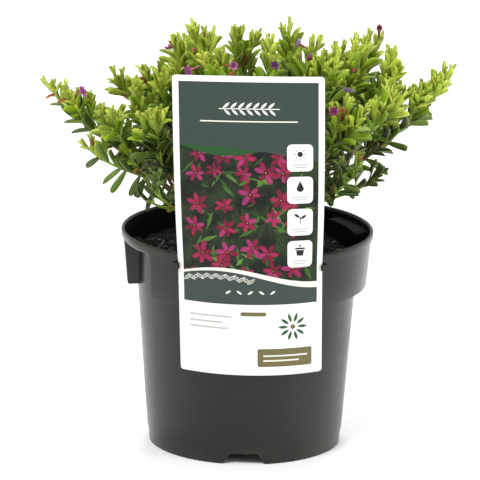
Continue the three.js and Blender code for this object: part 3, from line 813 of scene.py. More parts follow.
def oval(x, y, long, wide, turn=0.0, count=12, point=1.0):
    out = []
    for i in range(count):
        a = 2 * math.pi * i / count
        u = long * math.cos(a)
        v = wide * math.sin(a) * (1 - (1 - point) * abs(math.cos(a)))
        out.append((x + u * math.cos(turn) - v * math.sin(turn), y + u * math.sin(turn) + v * math.cos(turn)))
    return out


def roundedBox(left, low, right, high, corner, count=5):
    out = []
    for cx, cy, start in ((right - corner, high - corner, 0), (left + corner, high - corner, 90),
                          (left + corner, low + corner, 180), (right - corner, low + corner, 270)):
        for i in range(count):
            a = math.radians(start + 90 * i / (count - 1))
            out.append((cx + corner * math.cos(a), cy + corner * math.sin(a)))
    return out


def waveStrip(left, right, low, high, waves=24):
    steps = [i / waves for i in range(waves + 1)]
    lower = [(left + (right - left) * t, low(t)) for t in steps]
    upper = [(left + (right - left) * t, high(t)) for t in reversed(steps)]
    return lower + upper


def drawPicture(shapes, draw):
    margin = cardPlan["printHalf"]
    shapes.append((roundedBox(-margin, 46, margin, 138, 0.3, 2), "photo", 1.0))
    for i in range(190):  # soft foliage behind the blossoms
        x, y = draw.uniform(-33, 33), draw.uniform(52, 133)
        tone = draw.choice((0x2f4a22, 0x4a7a30, 0x6b9c45, 0x1d2c1a, 0x16200f))
        long, wide, turn = draw.uniform(2.5, 6), draw.uniform(0.6, 1.4), draw.uniform(0, 3.14)
        shapes.append((oval(x, y, long, wide, turn, 8, 0.3), tone, 0.5))
    for i in range(30):  # loose seeded blossoms
        row, column = divmod(i, 5)
        x = -29 + column * 12.6 + draw.uniform(-4.5, 4.5) + (row % 2) * 5
        y = 60 + row * 13.4 + draw.uniform(-4.5, 4.5)
        size, start = draw.uniform(4.6, 6.4), draw.uniform(0, 1)
        for petal in range(6):
            turn = start + petal * math.pi / 3 + draw.uniform(-0.2, 0.2)
            reach = size * draw.uniform(0.8, 1.1)
            tone = draw.choice((0x9c1747, 0xb4205a, 0x7f1238, 0xb23578))
            middle = (x + reach * 0.6 * math.cos(turn), y + reach * 0.6 * math.sin(turn))
            shapes.append((oval(*middle, reach * 0.5, reach * 0.24, turn, 10), tone + 0x180008, 0.25))
            shapes.append((oval(*middle, reach * 0.36, reach * 0.1, turn, 8), tone + 0x1c1418, 0.1))
        shapes.append((oval(x, y, size * 0.2, size * 0.2, 0, 7), 0x4a0d28, 0.0))
        shapes.append((oval(x, y, size * 0.08, size * 0.08, 0, 5), 0xc7c552, 0.0))


def drawHeader(shapes):
    margin = cardPlan["printHalf"]
    edge = lambda t: 131 - 9 * t + 2.5 * math.sin(3.2 * t)
    hem = lambda t: edge(t) - 5 * math.sin(math.pi * min(t * 1.7, 1))
    shapes.append((waveStrip(-margin, margin, hem, edge), "meadow", 0.0))
    shapes.append((waveStrip(-margin, margin, edge, lambda t: 166.3), "slate", 0.0))
    shapes.append((roundedBox(-26, 144.2, 26, 144.9, 0.3, 3), "cream", 0.0))
    for i in range(7):  # a plain sprig in the middle of the header
        x = -12 + i * 4
        shapes.append((oval(x, 153.4, 2.6, 0.95, 0.75, 10, 0.2), "cream", 0.0))
        shapes.append((oval(x + 0.6, 149.6, 2.4, 0.9, -0.75, 10, 0.2), "cream", 0.0))
    shapes.append((roundedBox(-16, 151.3, 16.5, 151.8, 0.2, 3), "cream", 0.0))


def drawBand(shapes):
    margin = cardPlan["printHalf"]
    top = lambda t: 55 + 5.2 * math.sin(4.1 * t + 0.5)
    piping = lambda t: top(t) + 1.3 + 2.2 * t
    shapes.append((waveStrip(-margin, margin, lambda t: top(t) - 1, piping), "cream", 0.0))
    shapes.append((waveStrip(-margin, margin, lambda t: 41.2, top), "band", 0.0))
    for i in range(15):  # outlined leaves along the band's upper edge
        t = 0.03 + 0.034 * i
        x, y, turn = margin * (2 * t - 1), top(t) - 3.2, 1.57 - 0.9 * (-1) ** i
        shapes.append((oval(x, y, 2.6, 1.05, turn, 12, 0.4), "cream", 0.0))
        shapes.append((oval(x, y, 2.1, 0.7, turn, 12, 0.4), "band", 0.0))
        shapes.append((oval(x, y, 1.7, 0.14, turn, 6), "cream", 0.0))
    for i in range(5):
        shapes.append((oval(-12 + 6 * i, 48.2, 1.9, 0.8, 0.6 - 1.2 * (i % 2), 10, 0.2), "cream", 0.0))


def drawBadges(shapes):
    for i, icon in enumerate((drawSun, drawDrop, drawSprout, drawPotSign)):
        x, y = 27.2, 124.5 - 18.2 * i
        shapes.append((roundedBox(x - 7, y - 7.6, x + 7, y + 7.6, 2.6), "paper", 0.0))
        icon(shapes, x, y + 2)
        shapes.append((roundedBox(x - 4.6, y - 4.3, x + 4.6, y - 3.6, 0.3, 3), "soft", 0.0))
        shapes.append((roundedBox(x - 3.2, y - 5.8, x + 3.2, y - 5.1, 0.3, 3), "soft", 0.0))


def drawSun(shapes, x, y):
    shapes.append((oval(x, y, 1.5, 1.5, 0, 14), "mark", 0.0))
    for i in range(8):
        a = math.pi * i / 4
        shapes.append((oval(x + 2.8 * math.cos(a), y + 2.8 * math.sin(a), 0.75, 0.22, a, 6), "mark", 0.0))


def drawDrop(shapes, x, y):
    low = [(x + 2 * math.cos(a), y - 1 + 2 * math.sin(a)) for a in [math.pi * (1 + i / 9) for i in range(10)]]
    shapes.append((low + [(x + 1.1, y + 0.9), (x, y + 3.3), (x - 1.1, y + 0.9)], "mark", 0.0))


def drawSprout(shapes, x, y):
    shapes.append((roundedBox(x - 0.25, y - 3, x + 0.25, y + 1.2, 0.2, 3), "mark", 0.0))
    shapes.append((oval(x - 1.8, y + 1.7, 2, 0.95, -0.6, 10, 0.3), "mark", 0.0))
    shapes.append((oval(x + 1.8, y + 0.9, 2, 0.95, 0.6, 10, 0.3), "mark", 0.0))


def drawPotSign(shapes, x, y):
    shapes.append(([(x - 1.7, y - 3), (x + 1.7, y - 3), (x + 2.3, y + 0.2), (x - 2.3, y + 0.2)], "mark", 0.0))
    shapes.append((roundedBox(x - 2.8, y + 0.6, x + 2.8, y + 1.6, 0.2, 3), "mark", 0.0))
    shapes.append((oval(x, y + 2.7, 1.1, 0.5, 1.2, 8, 0.3), "mark", 0.0))


def drawFoot(shapes):
    for i, length in enumerate((24, 19, 22)):  # plain strokes where small print stands
        shapes.append((roundedBox(-34, 33.4 - 3.4 * i, -34 + length, 34.4 - 3.4 * i, 0.4, 3), "soft", 0.0))
    shapes.append((roundedBox(-5.5, 34.6, 8.5, 36.9, 1.1), "tan", 0.0))
    shapes.append((roundedBox(3.5, 5, 34, 15.5, 1), "tan", 0.0))
    for i, length in enumerate((25, 20)):
        shapes.append((roundedBox(6.5, 10.9 - 2.8 * i, 6.5 + length, 11.8 - 2.8 * i, 0.35, 3), "cream", 0.0))
    for i in range(10):  # a ring of plain leaves
        a = 2 * math.pi * i / 10
        tone = "sprig" if i % 2 else "meadow"
        shapes.append((oval(23 + 5.4 * math.cos(a), 28 + 5.4 * math.sin(a), 2.9, 1.1, a, 10, 0.3), tone, 0.0))
    shapes.append((oval(23, 28, 1.4, 1.4, 0, 12), "tan", 0.0))


def printShapes():
    plan = cardPlan
    half, high = plan["width"] / 2, plan["top"] - plan["foot"]
    shapes = [(roundedBox(-half, 0, half, high, plan["corner"]), "paper", 0.0)]
    drawPicture(shapes, random.Random(plan["seed"]))
    for side in (-1, 1):  # the white borders lie over the picture's edges
        left, right = sorted((side * plan["printHalf"], side * (half - 0.01)))
        shapes.append(([(left, 40), (right, 40), (right, 138), (left, 138)], "paper", 0.0))
    drawHeader(shapes)
    drawBand(shapes)
    drawBadges(shapes)
    drawFoot(shapes)
    return shapes


# Cuts the flat card along every outline of the print and along the lines that it bends at
def cutPrint(shapes):
    plan = cardPlan
    points, loops, edges = [], [], []
    for outline, ink, depth in shapes:
        first = len(points)
        points += [Vector(p) for p in outline]
        loops.append(list(range(first, len(points))))
    half, high = plan["width"] / 2, plan["top"] - plan["foot"]
    upright = [-half + plan["width"] * i / 20 for i in range(1, 20)]
    level = [high * i / 24 for i in range(1, 24)] + [plan["rimHeight"] - plan["foot"]]
    lines = [((x, 0.0), (x, high)) for x in upright] + [((-half, y), (half, y)) for y in level]
    for start, end in lines:
        edges.append((len(points), len(points) + 1))
        points += [Vector(start), Vector(end)]
    flat, _, faces, _, _, owners = delaunay_2d_cdt(points, edges, loops, 1, 1e-4, True)
    kept = [(face, max(owner)) for face, owner in zip(faces, owners) if owner]
    return flat, kept


def makeCard():
    plan = cardPlan
    shapes = printShapes()
    flat, kept = cutPrint(shapes)
    front = [cardPoint(p.x, plan["foot"] + p.y, plan["thickness"]) for p in flat]
    back = [cardPoint(p.x, plan["foot"] + p.y, 0) for p in flat]
    count = len(flat)
    faces = [tuple(face) for face, owner in kept]
    sides = {}
    for face in faces:
        for a, b in zip(face, face[1:] + face[:1]):
            sides[(a, b)] = sides.get((b, a), 0) + 1
            if (b, a) in sides:
                del sides[(a, b)], sides[(b, a)]
    faces += [tuple(count + i for i in reversed(face)) for face, owner in kept]
    faces += [(b, a, count + a, count + b) for a, b in sides]
    mesh = meshOf("pictureCard", front + back, faces)
    tones, depths = [], []
    for number, polygon in enumerate(mesh.polygons):
        shape = shapes[kept[number][1]] if number < len(kept) else shapes[0]
        share = 0.86 if shape[1] in ("paper", "cream", "soft") else 0.44
        tones += colour(inks.get(shape[1], shape[1]), share) * polygon.loop_total
        depths += [shape[2]] * polygon.loop_total
    mesh.color_attributes.new("ink", "FLOAT_COLOR", "CORNER").data.foreach_set("color", tones)
    mesh.attributes.new("photoDepth", "FLOAT", "CORNER").data.foreach_set("value", depths)
    work = bmesh.new()
    work.from_mesh(mesh)
    bmesh.ops.delete(work, geom=[v for v in work.verts if not v.link_faces], context="VERTS")
    bmesh.ops.recalc_face_normals(work, faces=work.faces)
    work.to_mesh(mesh)
    work.free()
    return linkPiece("pictureCard", smoothed(mesh, 35), cardMaterial)


card = makeCard()
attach(card, "root")
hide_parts("picture_card")
print("card made:", len(card.data.polygons), "faces")


hookPlan = {
    "height": 113,
    "rise": 3.6,
    "post": 2.4,
    "reach": 1.4,
    "gap": 0.3,
    "wallRadius": 68.05,
    "bevel": 0.35,
}


# Each hook stands beside an edge of the card and reaches a little way over its front
def makeHooks():
    plan = hookPlan
    work = bmesh.new()
    for sign in (-1, 1):
        middle = plan["height"] + plan["rise"] / 2
        edge = cardPoint(sign * cardPlan["width"] / 2, middle, cardPlan["thickness"])
        angle = math.degrees(math.atan2(edge.x, -edge.y))
        radius = math.hypot(edge.x, edge.y)
        degree = radius * math.radians(1)
        beside = angle + sign * (plan["gap"] + 0.15) / degree
        outer = beside + sign * plan["post"] / degree
        over = angle - sign * plan["reach"] / degree
        front = radius + 2 * plan["gap"]
        ring = [(beside, plan["wallRadius"]), (outer, plan["wallRadius"]), (outer, front + 1.5),
                (over, front + 1.5), (over, front), (beside, front)]
        low = [work.verts.new(around(a, r, plan["height"]) * mm) for a, r in ring]
        face = work.faces.new(low)
        top = bmesh.ops.extrude_face_region(work, geom=[face])["geom"]
        raised = [v for v in top if isinstance(v, bmesh.types.BMVert)]
        bmesh.ops.translate(work, verts=raised, vec=Vector((0, 0, plan["rise"] * mm)))
    bmesh.ops.recalc_face_normals(work, faces=work.faces)
    bmesh.ops.bevel(work, geom=list(work.edges), offset=plan["bevel"] * mm, segments=2, affect="EDGES",
                    clamp_overlap=True)
    mesh = bpy.data.meshes.new("cardHooks")
    work.to_mesh(mesh)
    work.free()
    return linkPiece("cardHooks", smoothed(mesh, 50), potMaterial)


hooks = makeHooks()
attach(hooks, "root")


# Soil with its litter of bark chips

soilPlan = {
    "top": 107,
    "crown": 2.2,
    "radius": 64.5,
    "rings": 26,
    "columns": 112,
    "bump": 2.5,
    "chipDensity": 62000.0,  # chips on a square metre
    "seed": 4,
}


def soilLevel(x, y):
    plan = soilPlan
    radius = math.hypot(x, y)
    rough = noise.fractal(Vector((x, y, 3)) * 0.09, 0.8, 2.1, 5) * plan["bump"]
    crumbs = noise.noise(Vector((x, y, 9)) * 0.5) * 1.3
    return plan["top"] + plan["crown"] * (1 - radius / plan["radius"]) + rough * 0.8 + crumbs


def soilEdge(angle):
    return 64.6 - 5.9 * recessShare(angle, potPlan["recessHalfInside"] + 0.7)


def makeSoil():
    plan = soilPlan
    points, faces, room = [], [], []
    angles = [a for a in potColumns() if turnBetween(a % 3.2, 0) < 1.4 or recessShare(a, 16.2) not in (0, 1)]
    lower = [(59.0, 93.6), (58.6, 90), (51.9, 10), (50.6, 8.4)]
    for angle in angles:
        edge = soilEdge(angle)
        for ring in range(1, plan["rings"] + 1):
            spot = around(angle, edge * ring / plan["rings"])
            points.append((spot.x, spot.y, soilLevel(spot.x, spot.y)))
            room.append(edge * (1 - ring / plan["rings"]))
        points += [around(angle, min(radius, edge - 0.1), height) for radius, height in lower]
        room += [0] * len(lower)
    count, total = plan["rings"] + len(lower), len(angles)
    points += [(0, 0, soilLevel(0, 0)), (0, 0, 8.4)]
    for i in range(total):
        here, there = i * count, (i + 1) % total * count
        faces.append((len(points) - 2, here, there))
        faces += [(here + j, here + j + 1, there + j + 1, there + j) for j in range(count - 1)]
        faces.append((here + count - 1, len(points) - 1, there + count - 1))
    mesh = outwards(meshOf("soilBed", points, faces))
    mesh.attributes.new("roomToWall", "FLOAT", "POINT").data.foreach_set("value", room + [60, 60])
    return linkPiece("soilBed", smoothed(mesh, 180), soilMaterial)


def makeChips(keep):
    draw = random.Random(23)
    noise.seed_set(23)
    for number in range(6):
        work = bmesh.new()
        bmesh.ops.create_icosphere(work, subdivisions=1, radius=1)
        stretch = Vector((1, draw.uniform(0.35, 0.8), draw.uniform(0.28, 0.6)))
        for vertex in work.verts:
            vertex.co += noise.noise_vector(vertex.co * 1.4 + Vector((number * 7, 0, 0))) * 0.45
            vertex.co = vertex.co * stretch
        mesh = bpy.data.meshes.new(f"chip{number}")
        work.to_mesh(mesh)
        work.free()
        keep.objects.link(bpy.data.objects.new(f"chip{number}", mesh))


# Scatters chips over the faces that look up, each turned, sized and tinted by its own draw
def makeLitterTree():
    tree, given, result = newTree("barkLitter", [
        ("Density", "NodeSocketFloat", 50000.0),
        ("Seed", "NodeSocketInt", 1),
        ("Smallest", "NodeSocketFloat", 0.0006),
        ("Largest", "NodeSocketFloat", 0.003),
        ("Room", "NodeSocketFloat", 3.0),
        ("Chips", "NodeSocketCollection", None),
        ("Soil", "NodeSocketMaterial", None),
        ("Bark", "NodeSocketMaterial", None),
    ])
    facing = put(tree, "ShaderNodeSeparateXYZ", {"Vector": put(tree, "GeometryNodeInputNormal").outputs[0]})
    flat = put(tree, "FunctionNodeCompare", {0: facing.outputs["Z"], 1: 0.6}, data_type="FLOAT",
               operation="GREATER_THAN").outputs[0]
    roomy = put(tree, "FunctionNodeCompare", {0: stored(tree, "roomToWall", "FLOAT"), 1: given["Room"]},
                data_type="FLOAT", operation="GREATER_THAN").outputs[0]
    top = put(tree, "FunctionNodeBooleanMath", {0: flat, 1: roomy}, operation="AND").outputs[0]
    sown = put(tree, "GeometryNodeDistributePointsOnFaces", {
        "Mesh": given["Geometry"], "Selection": top, "Density": given["Density"], "Seed": given["Seed"],
    })
    turn = put(tree, "FunctionNodeRandomValue", {0: (-0.9, -0.9, 0.0), 1: (0.9, 0.9, 6.28), "Seed": 5},
               data_type="FLOAT_VECTOR").outputs[0]
    even = put(tree, "FunctionNodeRandomValue", {2: 0.0, 3: 1.0, "Seed": 8}, data_type="FLOAT").outputs[1]
    often = calc(tree, "POWER", even, 3.0)
    span = calc(tree, "SUBTRACT", given["Largest"], given["Smallest"])
    size = calc(tree, "ADD", calc(tree, "MULTIPLY", often, span), given["Smallest"])
    pieces = put(tree, "GeometryNodeCollectionInfo", {
        "Collection": given["Chips"], "Separate Children": True, "Reset Children": True,
    }).outputs[0]
    rotation = put(tree, "FunctionNodeEulerToRotation", {0: turn}).outputs[0]
    strewn = put(tree, "GeometryNodeInstanceOnPoints", {
        "Points": sown.outputs["Points"], "Instance": pieces, "Pick Instance": True, "Rotation": rotation,
        "Scale": size,
    }).outputs[0]
    tint = put(tree, "FunctionNodeRandomValue", {2: 0.1, 3: 1.0, "Seed": 13}, data_type="FLOAT").outputs[1]
    marked = put(tree, "GeometryNodeStoreNamedAttribute", {
        "Geometry": strewn, "Name": "chipTint", "Value": tint,
    }, data_type="FLOAT", domain="INSTANCE").outputs[0]
    joined = put(tree, "GeometryNodeJoinGeometry")
    tree.links.new(marked, joined.inputs[0])
    tree.links.new(given["Geometry"], joined.inputs[0])
    whole = put(tree, "GeometryNodeRealizeInstances", {"Geometry": joined.outputs[0]}).outputs[0]
    earthy = put(tree, "GeometryNodeSetMaterial", {"Geometry": whole, "Material": given["Soil"]}).outputs[0]
    isChip = put(tree, "FunctionNodeCompare", {0: stored(tree, "chipTint", "FLOAT"), 1: 0.05},
                 data_type="FLOAT", operation="GREATER_THAN").outputs[0]
    woody = put(tree, "GeometryNodeSetMaterial", {
        "Geometry": earthy, "Selection": isChip, "Material": given["Bark"],
    }).outputs[0]
    tree.links.new(woody, result["Geometry"])
    return tree


chipBox = bpy.data.collections.new("chipShapes")
makeChips(chipBox)
soil = grow(makeSoil(), makeLitterTree(), Density=soilPlan["chipDensity"], Seed=soilPlan["seed"],
            Smallest=0.0006, Largest=0.0036, Room=3.2, Chips=chipBox, Soil=soilMaterial, Bark=chipMaterial,
            drop=("roomToWall",))
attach(soil, "root")
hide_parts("soil")
print("soil made:", len(soil.data.polygons), "faces")


# Plant: the same limbs, stems and leaf rule as the frame, grown out in full

crownPlan = {
    "trunkTop": 122,
    "limbFoot": 2.3,
    "limbEnd": 1.35,
    "limbs": [
        (-50, -5, 149),
        (-38, 24, 160),
        (-40, -24, 147),
        (-18, 8, 174),
        (2, -30, 160),
        (24, 4, 172),
        (40, -26, 147),
        (49, -3, 148),
        (38, 27, 160),
        (3, 40, 160),
        (-26, 46, 143),
        (30, 47, 143),
    ],
}

# The limb that each shoot leaves, how far along it, and the tips of its main stem and side stems
shoots = [
    (0, 1, [(-114, -6, 206), (-102, -14, 203), (-88, -2, 199)]),
    (2, 1, [(-93, -25, 176), (-69, -30, 175)]),
    (1, 1, [(-77, 8, 209), (-72, 17, 201)]),
    (0, 0.78, [(-64, -18, 210)]),
    (0, 0.9, [(-82, -32, 197), (-76, -42, 196)]),
    (1, 0.8, [(-52, -5, 211)]),
    (3, 0.66, [(-44, 12, 212)]),
    (3, 0.84, [(-44, 20, 226), (-37, 27, 225)]),
    (3, 1, [(-32, 5, 237), (-21, 10, 232)]),
    (4, 0.82, [(-18, -25, 229), (-27, -30, 228)]),
    (9, 1, [(-9, 25, 231), (1, 30, 227)]),
    (4, 1, [(12, -20, 235)]),
    (5, 1, [(21, 10, 237)]),
    (5, 0.84, [(34, -10, 232)]),
    (6, 0.86, [(40, -25, 228), (47, -32, 230)]),
    (5, 0.68, [(52, 15, 224)]),
    (7, 0.76, [(59, 0, 230), (66, 5, 232)]),
    (8, 1, [(73, 20, 229)]),
    (7, 0.88, [(80, 5, 223), (83, -4, 216)]),
    (6, 1, [(79, -20, 209), (85, -28, 206)]),
    (8, 0.9, [(90, 12, 201)]),
    (7, 1, [(113, -4, 216), (99, -10, 208)]),
    (6, 0.72, [(76, -32, 165)]),
    (2, 0.6, [(-62, -37, 151)]),
    (2, 0.72, [(-60, -52, 198), (-51, -58, 200)]),
    (2, 0.48, [(-55, -79, 168)]),
    (6, 0.6, [(53, -52, 208), (63, -54, 203)]),
    (6, 0.48, [(60, -79, 178)]),
    (4, 0.66, [(-25, -48, 196)]),
    (4, 0.5, [(20, -50, 197)]),
    (10, 1, [(-62, 38, 205), (-50, 38, 208)]),
    (1, 0.9, [(-40, 58, 207)]),
    (9, 0.84, [(-14, 68, 205), (-16, 54, 211)]),
    (9, 0.66, [(14, 70, 206), (22, 56, 211)]),
    (8, 0.6, [(42, 57, 205)]),
    (11, 0.5, [(70, 48, 194)]),
    (10, 0.66, [(-80, 20, 176)]),
    (10, 0.84, [(-62, 60, 172), (-48, 62, 178)]),
    (10, 0.5, [(-22, 79, 168)]),
    (11, 0.84, [(20, 80, 170), (30, 70, 182)]),
    (11, 1, [(58, 62, 174)]),
    (11, 0.66, [(82, 36, 168)]),
]

stemPlan = {
    "footRadius": 1.15,
    "tipRadius": 0.55,
    "tipReach": 6,
    "sides": 7,
}

twigPlan = {
    "radius": 0.6,
    "first": 10,  # from the stem's tip
    "every": 8,
    "share": 0.72,  # of the stem that carries twigs
    "length": 9,
    "more": 0.14,  # extra length for each millimetre from the tip
    "longest": 17,
    "along": 0.55,
    "upward": 0.65,
    "outward": 0.5,
    "pitch": 2.2,
    "tipLeaf": 5.5,
    "leaf": 9.5,
    "crowded": {0: 0.6, 1: 0.75, 21: 0.75},  # shoots whose twigs stand closer
}

leafPlan = {
    "pitch": 2.6,  # from one pair of leaves to the next
    "leafyShare": 0.82,  # of each stem, from its tip
    "length": 12.5,
    "tipLength": 6.4,
    "slimness": 0.255,
    "openAtTip": 14,  # degrees from the stem, and how much more further down
    "openMore": 40,
    "opensOver": 30,
    "openUneven": 17,  # degrees, as are the next two
    "turnUneven": 32,
    "twist": 24,
    "thinBelow": 182,  # shoots lose some of their leaves below this height
    "thinMost": 0.55,
    "lowest": 133,  # the foliage's underside rises from here
    "rise": 64,
    "reach": 112,
}


class BentPath:  # a Bezier curve that can also be asked by length
    def __init__(self, controls, steps=80):
        self.controls = [Vector(c) for c in controls]
        self.reached = [0.0]
        spots = [self.point(i / steps) for i in range(steps + 1)]
        for a, b in zip(spots, spots[1:]):
            self.reached.append(self.reached[-1] + (b - a).length)
        self.length = self.reached[-1]

    def point(self, t):
        spots = self.controls
        while len(spots) > 1:
            spots = [a.lerp(b, t) for a, b in zip(spots, spots[1:])]
        return spots[0]

    def tangent(self, t):
        near, far = max(t - 0.002, 0), min(t + 0.002, 1)
        return (self.point(far) - self.point(near)).normalized()

    def part(self, along):
        goal = along * self.length
        steps = len(self.reached) - 1
        for i in range(steps):
            if self.reached[i + 1] >= goal:
                gap = self.reached[i + 1] - self.reached[i]
                return (i + (goal - self.reached[i]) / gap) / steps
        return 1.0


def sideOf(start, end):
    side = Vector((start.y - end.y, end.x - start.x, 0))
    return Vector((1, 0, 0)) if side.length_squared < 1 else side.normalized()


def crossFrame(tangent, side):
    across = (side - tangent * side.dot(tangent)).normalized()
    return across, tangent.cross(across)


def growLimb(index):
    plan = crownPlan
    start = Vector((0, 0, plan["trunkTop"] - 4.5 - 4 * jitter(index, 3, 1)))
    tip = Vector(plan["limbs"][index])
    middle = start.lerp(tip, 0.45)
    middle.z = max(middle.z - 0.12 * (tip - start).length, start.z + 4)
    return BentPath([start, middle, tip])


def stemCurve(start, leave, tip):
    chord = tip - start
    length = chord.length
    chord.normalize()
    away = (leave * 0.5 + chord).normalized()
    arrive = (chord + up * 0.45).normalized()
    end = tip - arrive * stemPlan["tipReach"]
    return BentPath([start, start + away * 0.33 * length, end - arrive * 0.33 * length, end])


limbs = [growLimb(index) for index in range(len(crownPlan["limbs"]))]
lowest, highest = (corner / mm for corner in cadBounds)


# True where a leaf or twig may be: inside the object's box, clear of the pot's rim, the soil and the card
def isFree(spot):
    if any(spot[i] < lowest[i] - 3.5 or spot[i] > highest[i] + 3.5 for i in range(3)):
        return False
    radius = math.hypot(spot.x, spot.y)
    if spot.z < 122.5 and radius > 65:
        return spot.z > 92 and radius > 72
    reach = math.hypot(spot.x, spot.y * 0.75)
    if spot.z < leafPlan["lowest"] + leafPlan["rise"] * (reach / leafPlan["reach"]) ** 3:
        return False
    if spot.z > cardPlan["top"] + 1.5:
        return True
    centre, front, bend = cardLine(spot.z)
    if abs(spot.x - centre) > cardPlan["width"] / 2 + 1.5:
        return True
    behind = front + (spot.x - centre) ** 2 * bend / 2
    return spot.y > behind + 1.2


class ShootSketch:  # gathers one shoot's stem lines and leaf points with what the geometry tree reads
    def __init__(self, older=0.0):
        self.older = older
        self.points, self.edges = [], []
        self.values = {name: [] for name in ("stemRadius", "age", "tint", "calyx")}
        self.axes, self.faces, self.sizes, self.kinds, self.leafy = [], [], [], [], []

    def add(self, point, radius=0.0, age=0.0, tint=0.0, calyx=0.0, leaf=None):
        self.points.append(point)
        for name, value in zip(self.values, (radius, age, tint, calyx)):
            self.values[name].append(value)
        axis, face, size, kind = leaf or (Vector((1, 0, 0)), up, Vector((1, 1, 1)), 0)
        self.axes.append(axis)
        self.faces.append(face)
        self.sizes.append(size)
        self.kinds.append(kind)
        self.leafy.append(leaf is not None)

    def line(self, spots, radii, ages, calyx=None):
        first = len(self.points)
        for i, spot in enumerate(spots):
            self.add(spot, radii[i], ages[i], calyx=calyx[i] if calyx else 0.0)
            if i:
                self.edges.append((first + i - 1, first + i))

    def mesh(self, name):
        mesh = meshOf(name, self.points, [], self.edges)
        for label, values in self.values.items():
            scale = mm if label == "stemRadius" else 1
            scaled = [v * scale for v in values]
            mesh.attributes.new(label, "FLOAT", "POINT").data.foreach_set("value", scaled)
        for label, vectors, scale in (("leafAxis", self.axes, 1), ("leafFace", self.faces, 1),
                                      ("leafSize", self.sizes, mm)):
            flat = [c * scale for vector in vectors for c in vector]
            mesh.attributes.new(label, "FLOAT_VECTOR", "POINT").data.foreach_set("vector", flat)
        mesh.attributes.new("leafKind", "INT", "POINT").data.foreach_set("value", self.kinds)
        mesh.attributes.new("isLeaf", "BOOLEAN", "POINT").data.foreach_set("value", self.leafy)
        return mesh


# How old foliage looks at a place, with painted shade: fresh near a stem's tip by age; dark low down and
# inside, where the darkening is painted shade under the foliage on top of age
def foliageAgeAndShade(fromTip, spot):
    # painted shade: low down and inside the crown the value rises, so those leaves are darkened along the age
    # ramp
    deep = 1 - smooth((spot.z - 142) / 56)
    inside = 1 - smooth((math.hypot(spot.x, spot.y * 1.2) - 38) / 52)
    return min(0.62 * smooth(fromTip / 45) + 0.9 * deep * (0.25 + 0.75 * inside), 1.0)


def addLeaf(sketch, path, side, along, fromTip, angle, seed, length, stemRadius):
    plan = leafPlan
    part = path.part(along)
    tangent = path.tangent(part)
    across, rise = crossFrame(tangent, side)
    turn = math.radians(angle)
    outward = across * math.cos(turn) + rise * math.sin(turn)
    open = math.radians(plan["openAtTip"] + plan["openMore"] * smooth((fromTip + 4) / plan["opensOver"])
                        + spread(*seed, plan["openUneven"]))
    axis = tangent * math.cos(open) + outward * math.sin(open)
    draw = jitter(seed[0] + 3, seed[1] + 5, seed[2] + 11)
    spare = 1 - smooth((path.point(part).z - plan["thinBelow"] + 35) / 35)
    if jitter(seed[0] + 13, seed[1], seed[2] + 3) < plan["thinMost"] * spare:
        return
    if outward.z > -0.25:
        axis.z += 0.16
    elif fromTip > 18 and draw > 0.5:
        return  # the underside of an old stem carries fewer leaves
    else:
        axis.z -= 0.2 * smooth((fromTip - 15) / 40)
    axis.normalize()
    face = (tangent - axis * tangent.dot(axis)).normalized()
    twist = math.radians(spread(seed[0] + 21, seed[1], seed[2], plan["twist"]))
    face = face * math.cos(twist) + axis.cross(face) * math.sin(twist)
    root = path.point(part) + outward * 0.5 * stemRadius - axis * 0.3
    tip = root + axis * length
    if not (isFree(root) and isFree(tip) and isFree(root.lerp(tip, 0.5))):
        return
    width = length * plan["slimness"] * (0.88 + 0.24 * draw)
    kind = int(jitter(seed[0] + 7, seed[1], seed[2]) * 4)
    leaf = (axis, face, Vector((length, width, length)), kind)
    # painted shade: the place-based darkening and the shoot's extra darkening are added to the leaf's age
    age = min(foliageAgeAndShade(fromTip, root) + sketch.older, 1)
    tint = jitter(seed[0] + 1, seed[1] + 2, seed[2])
    sketch.add(root, age=age, tint=tint, leaf=leaf)


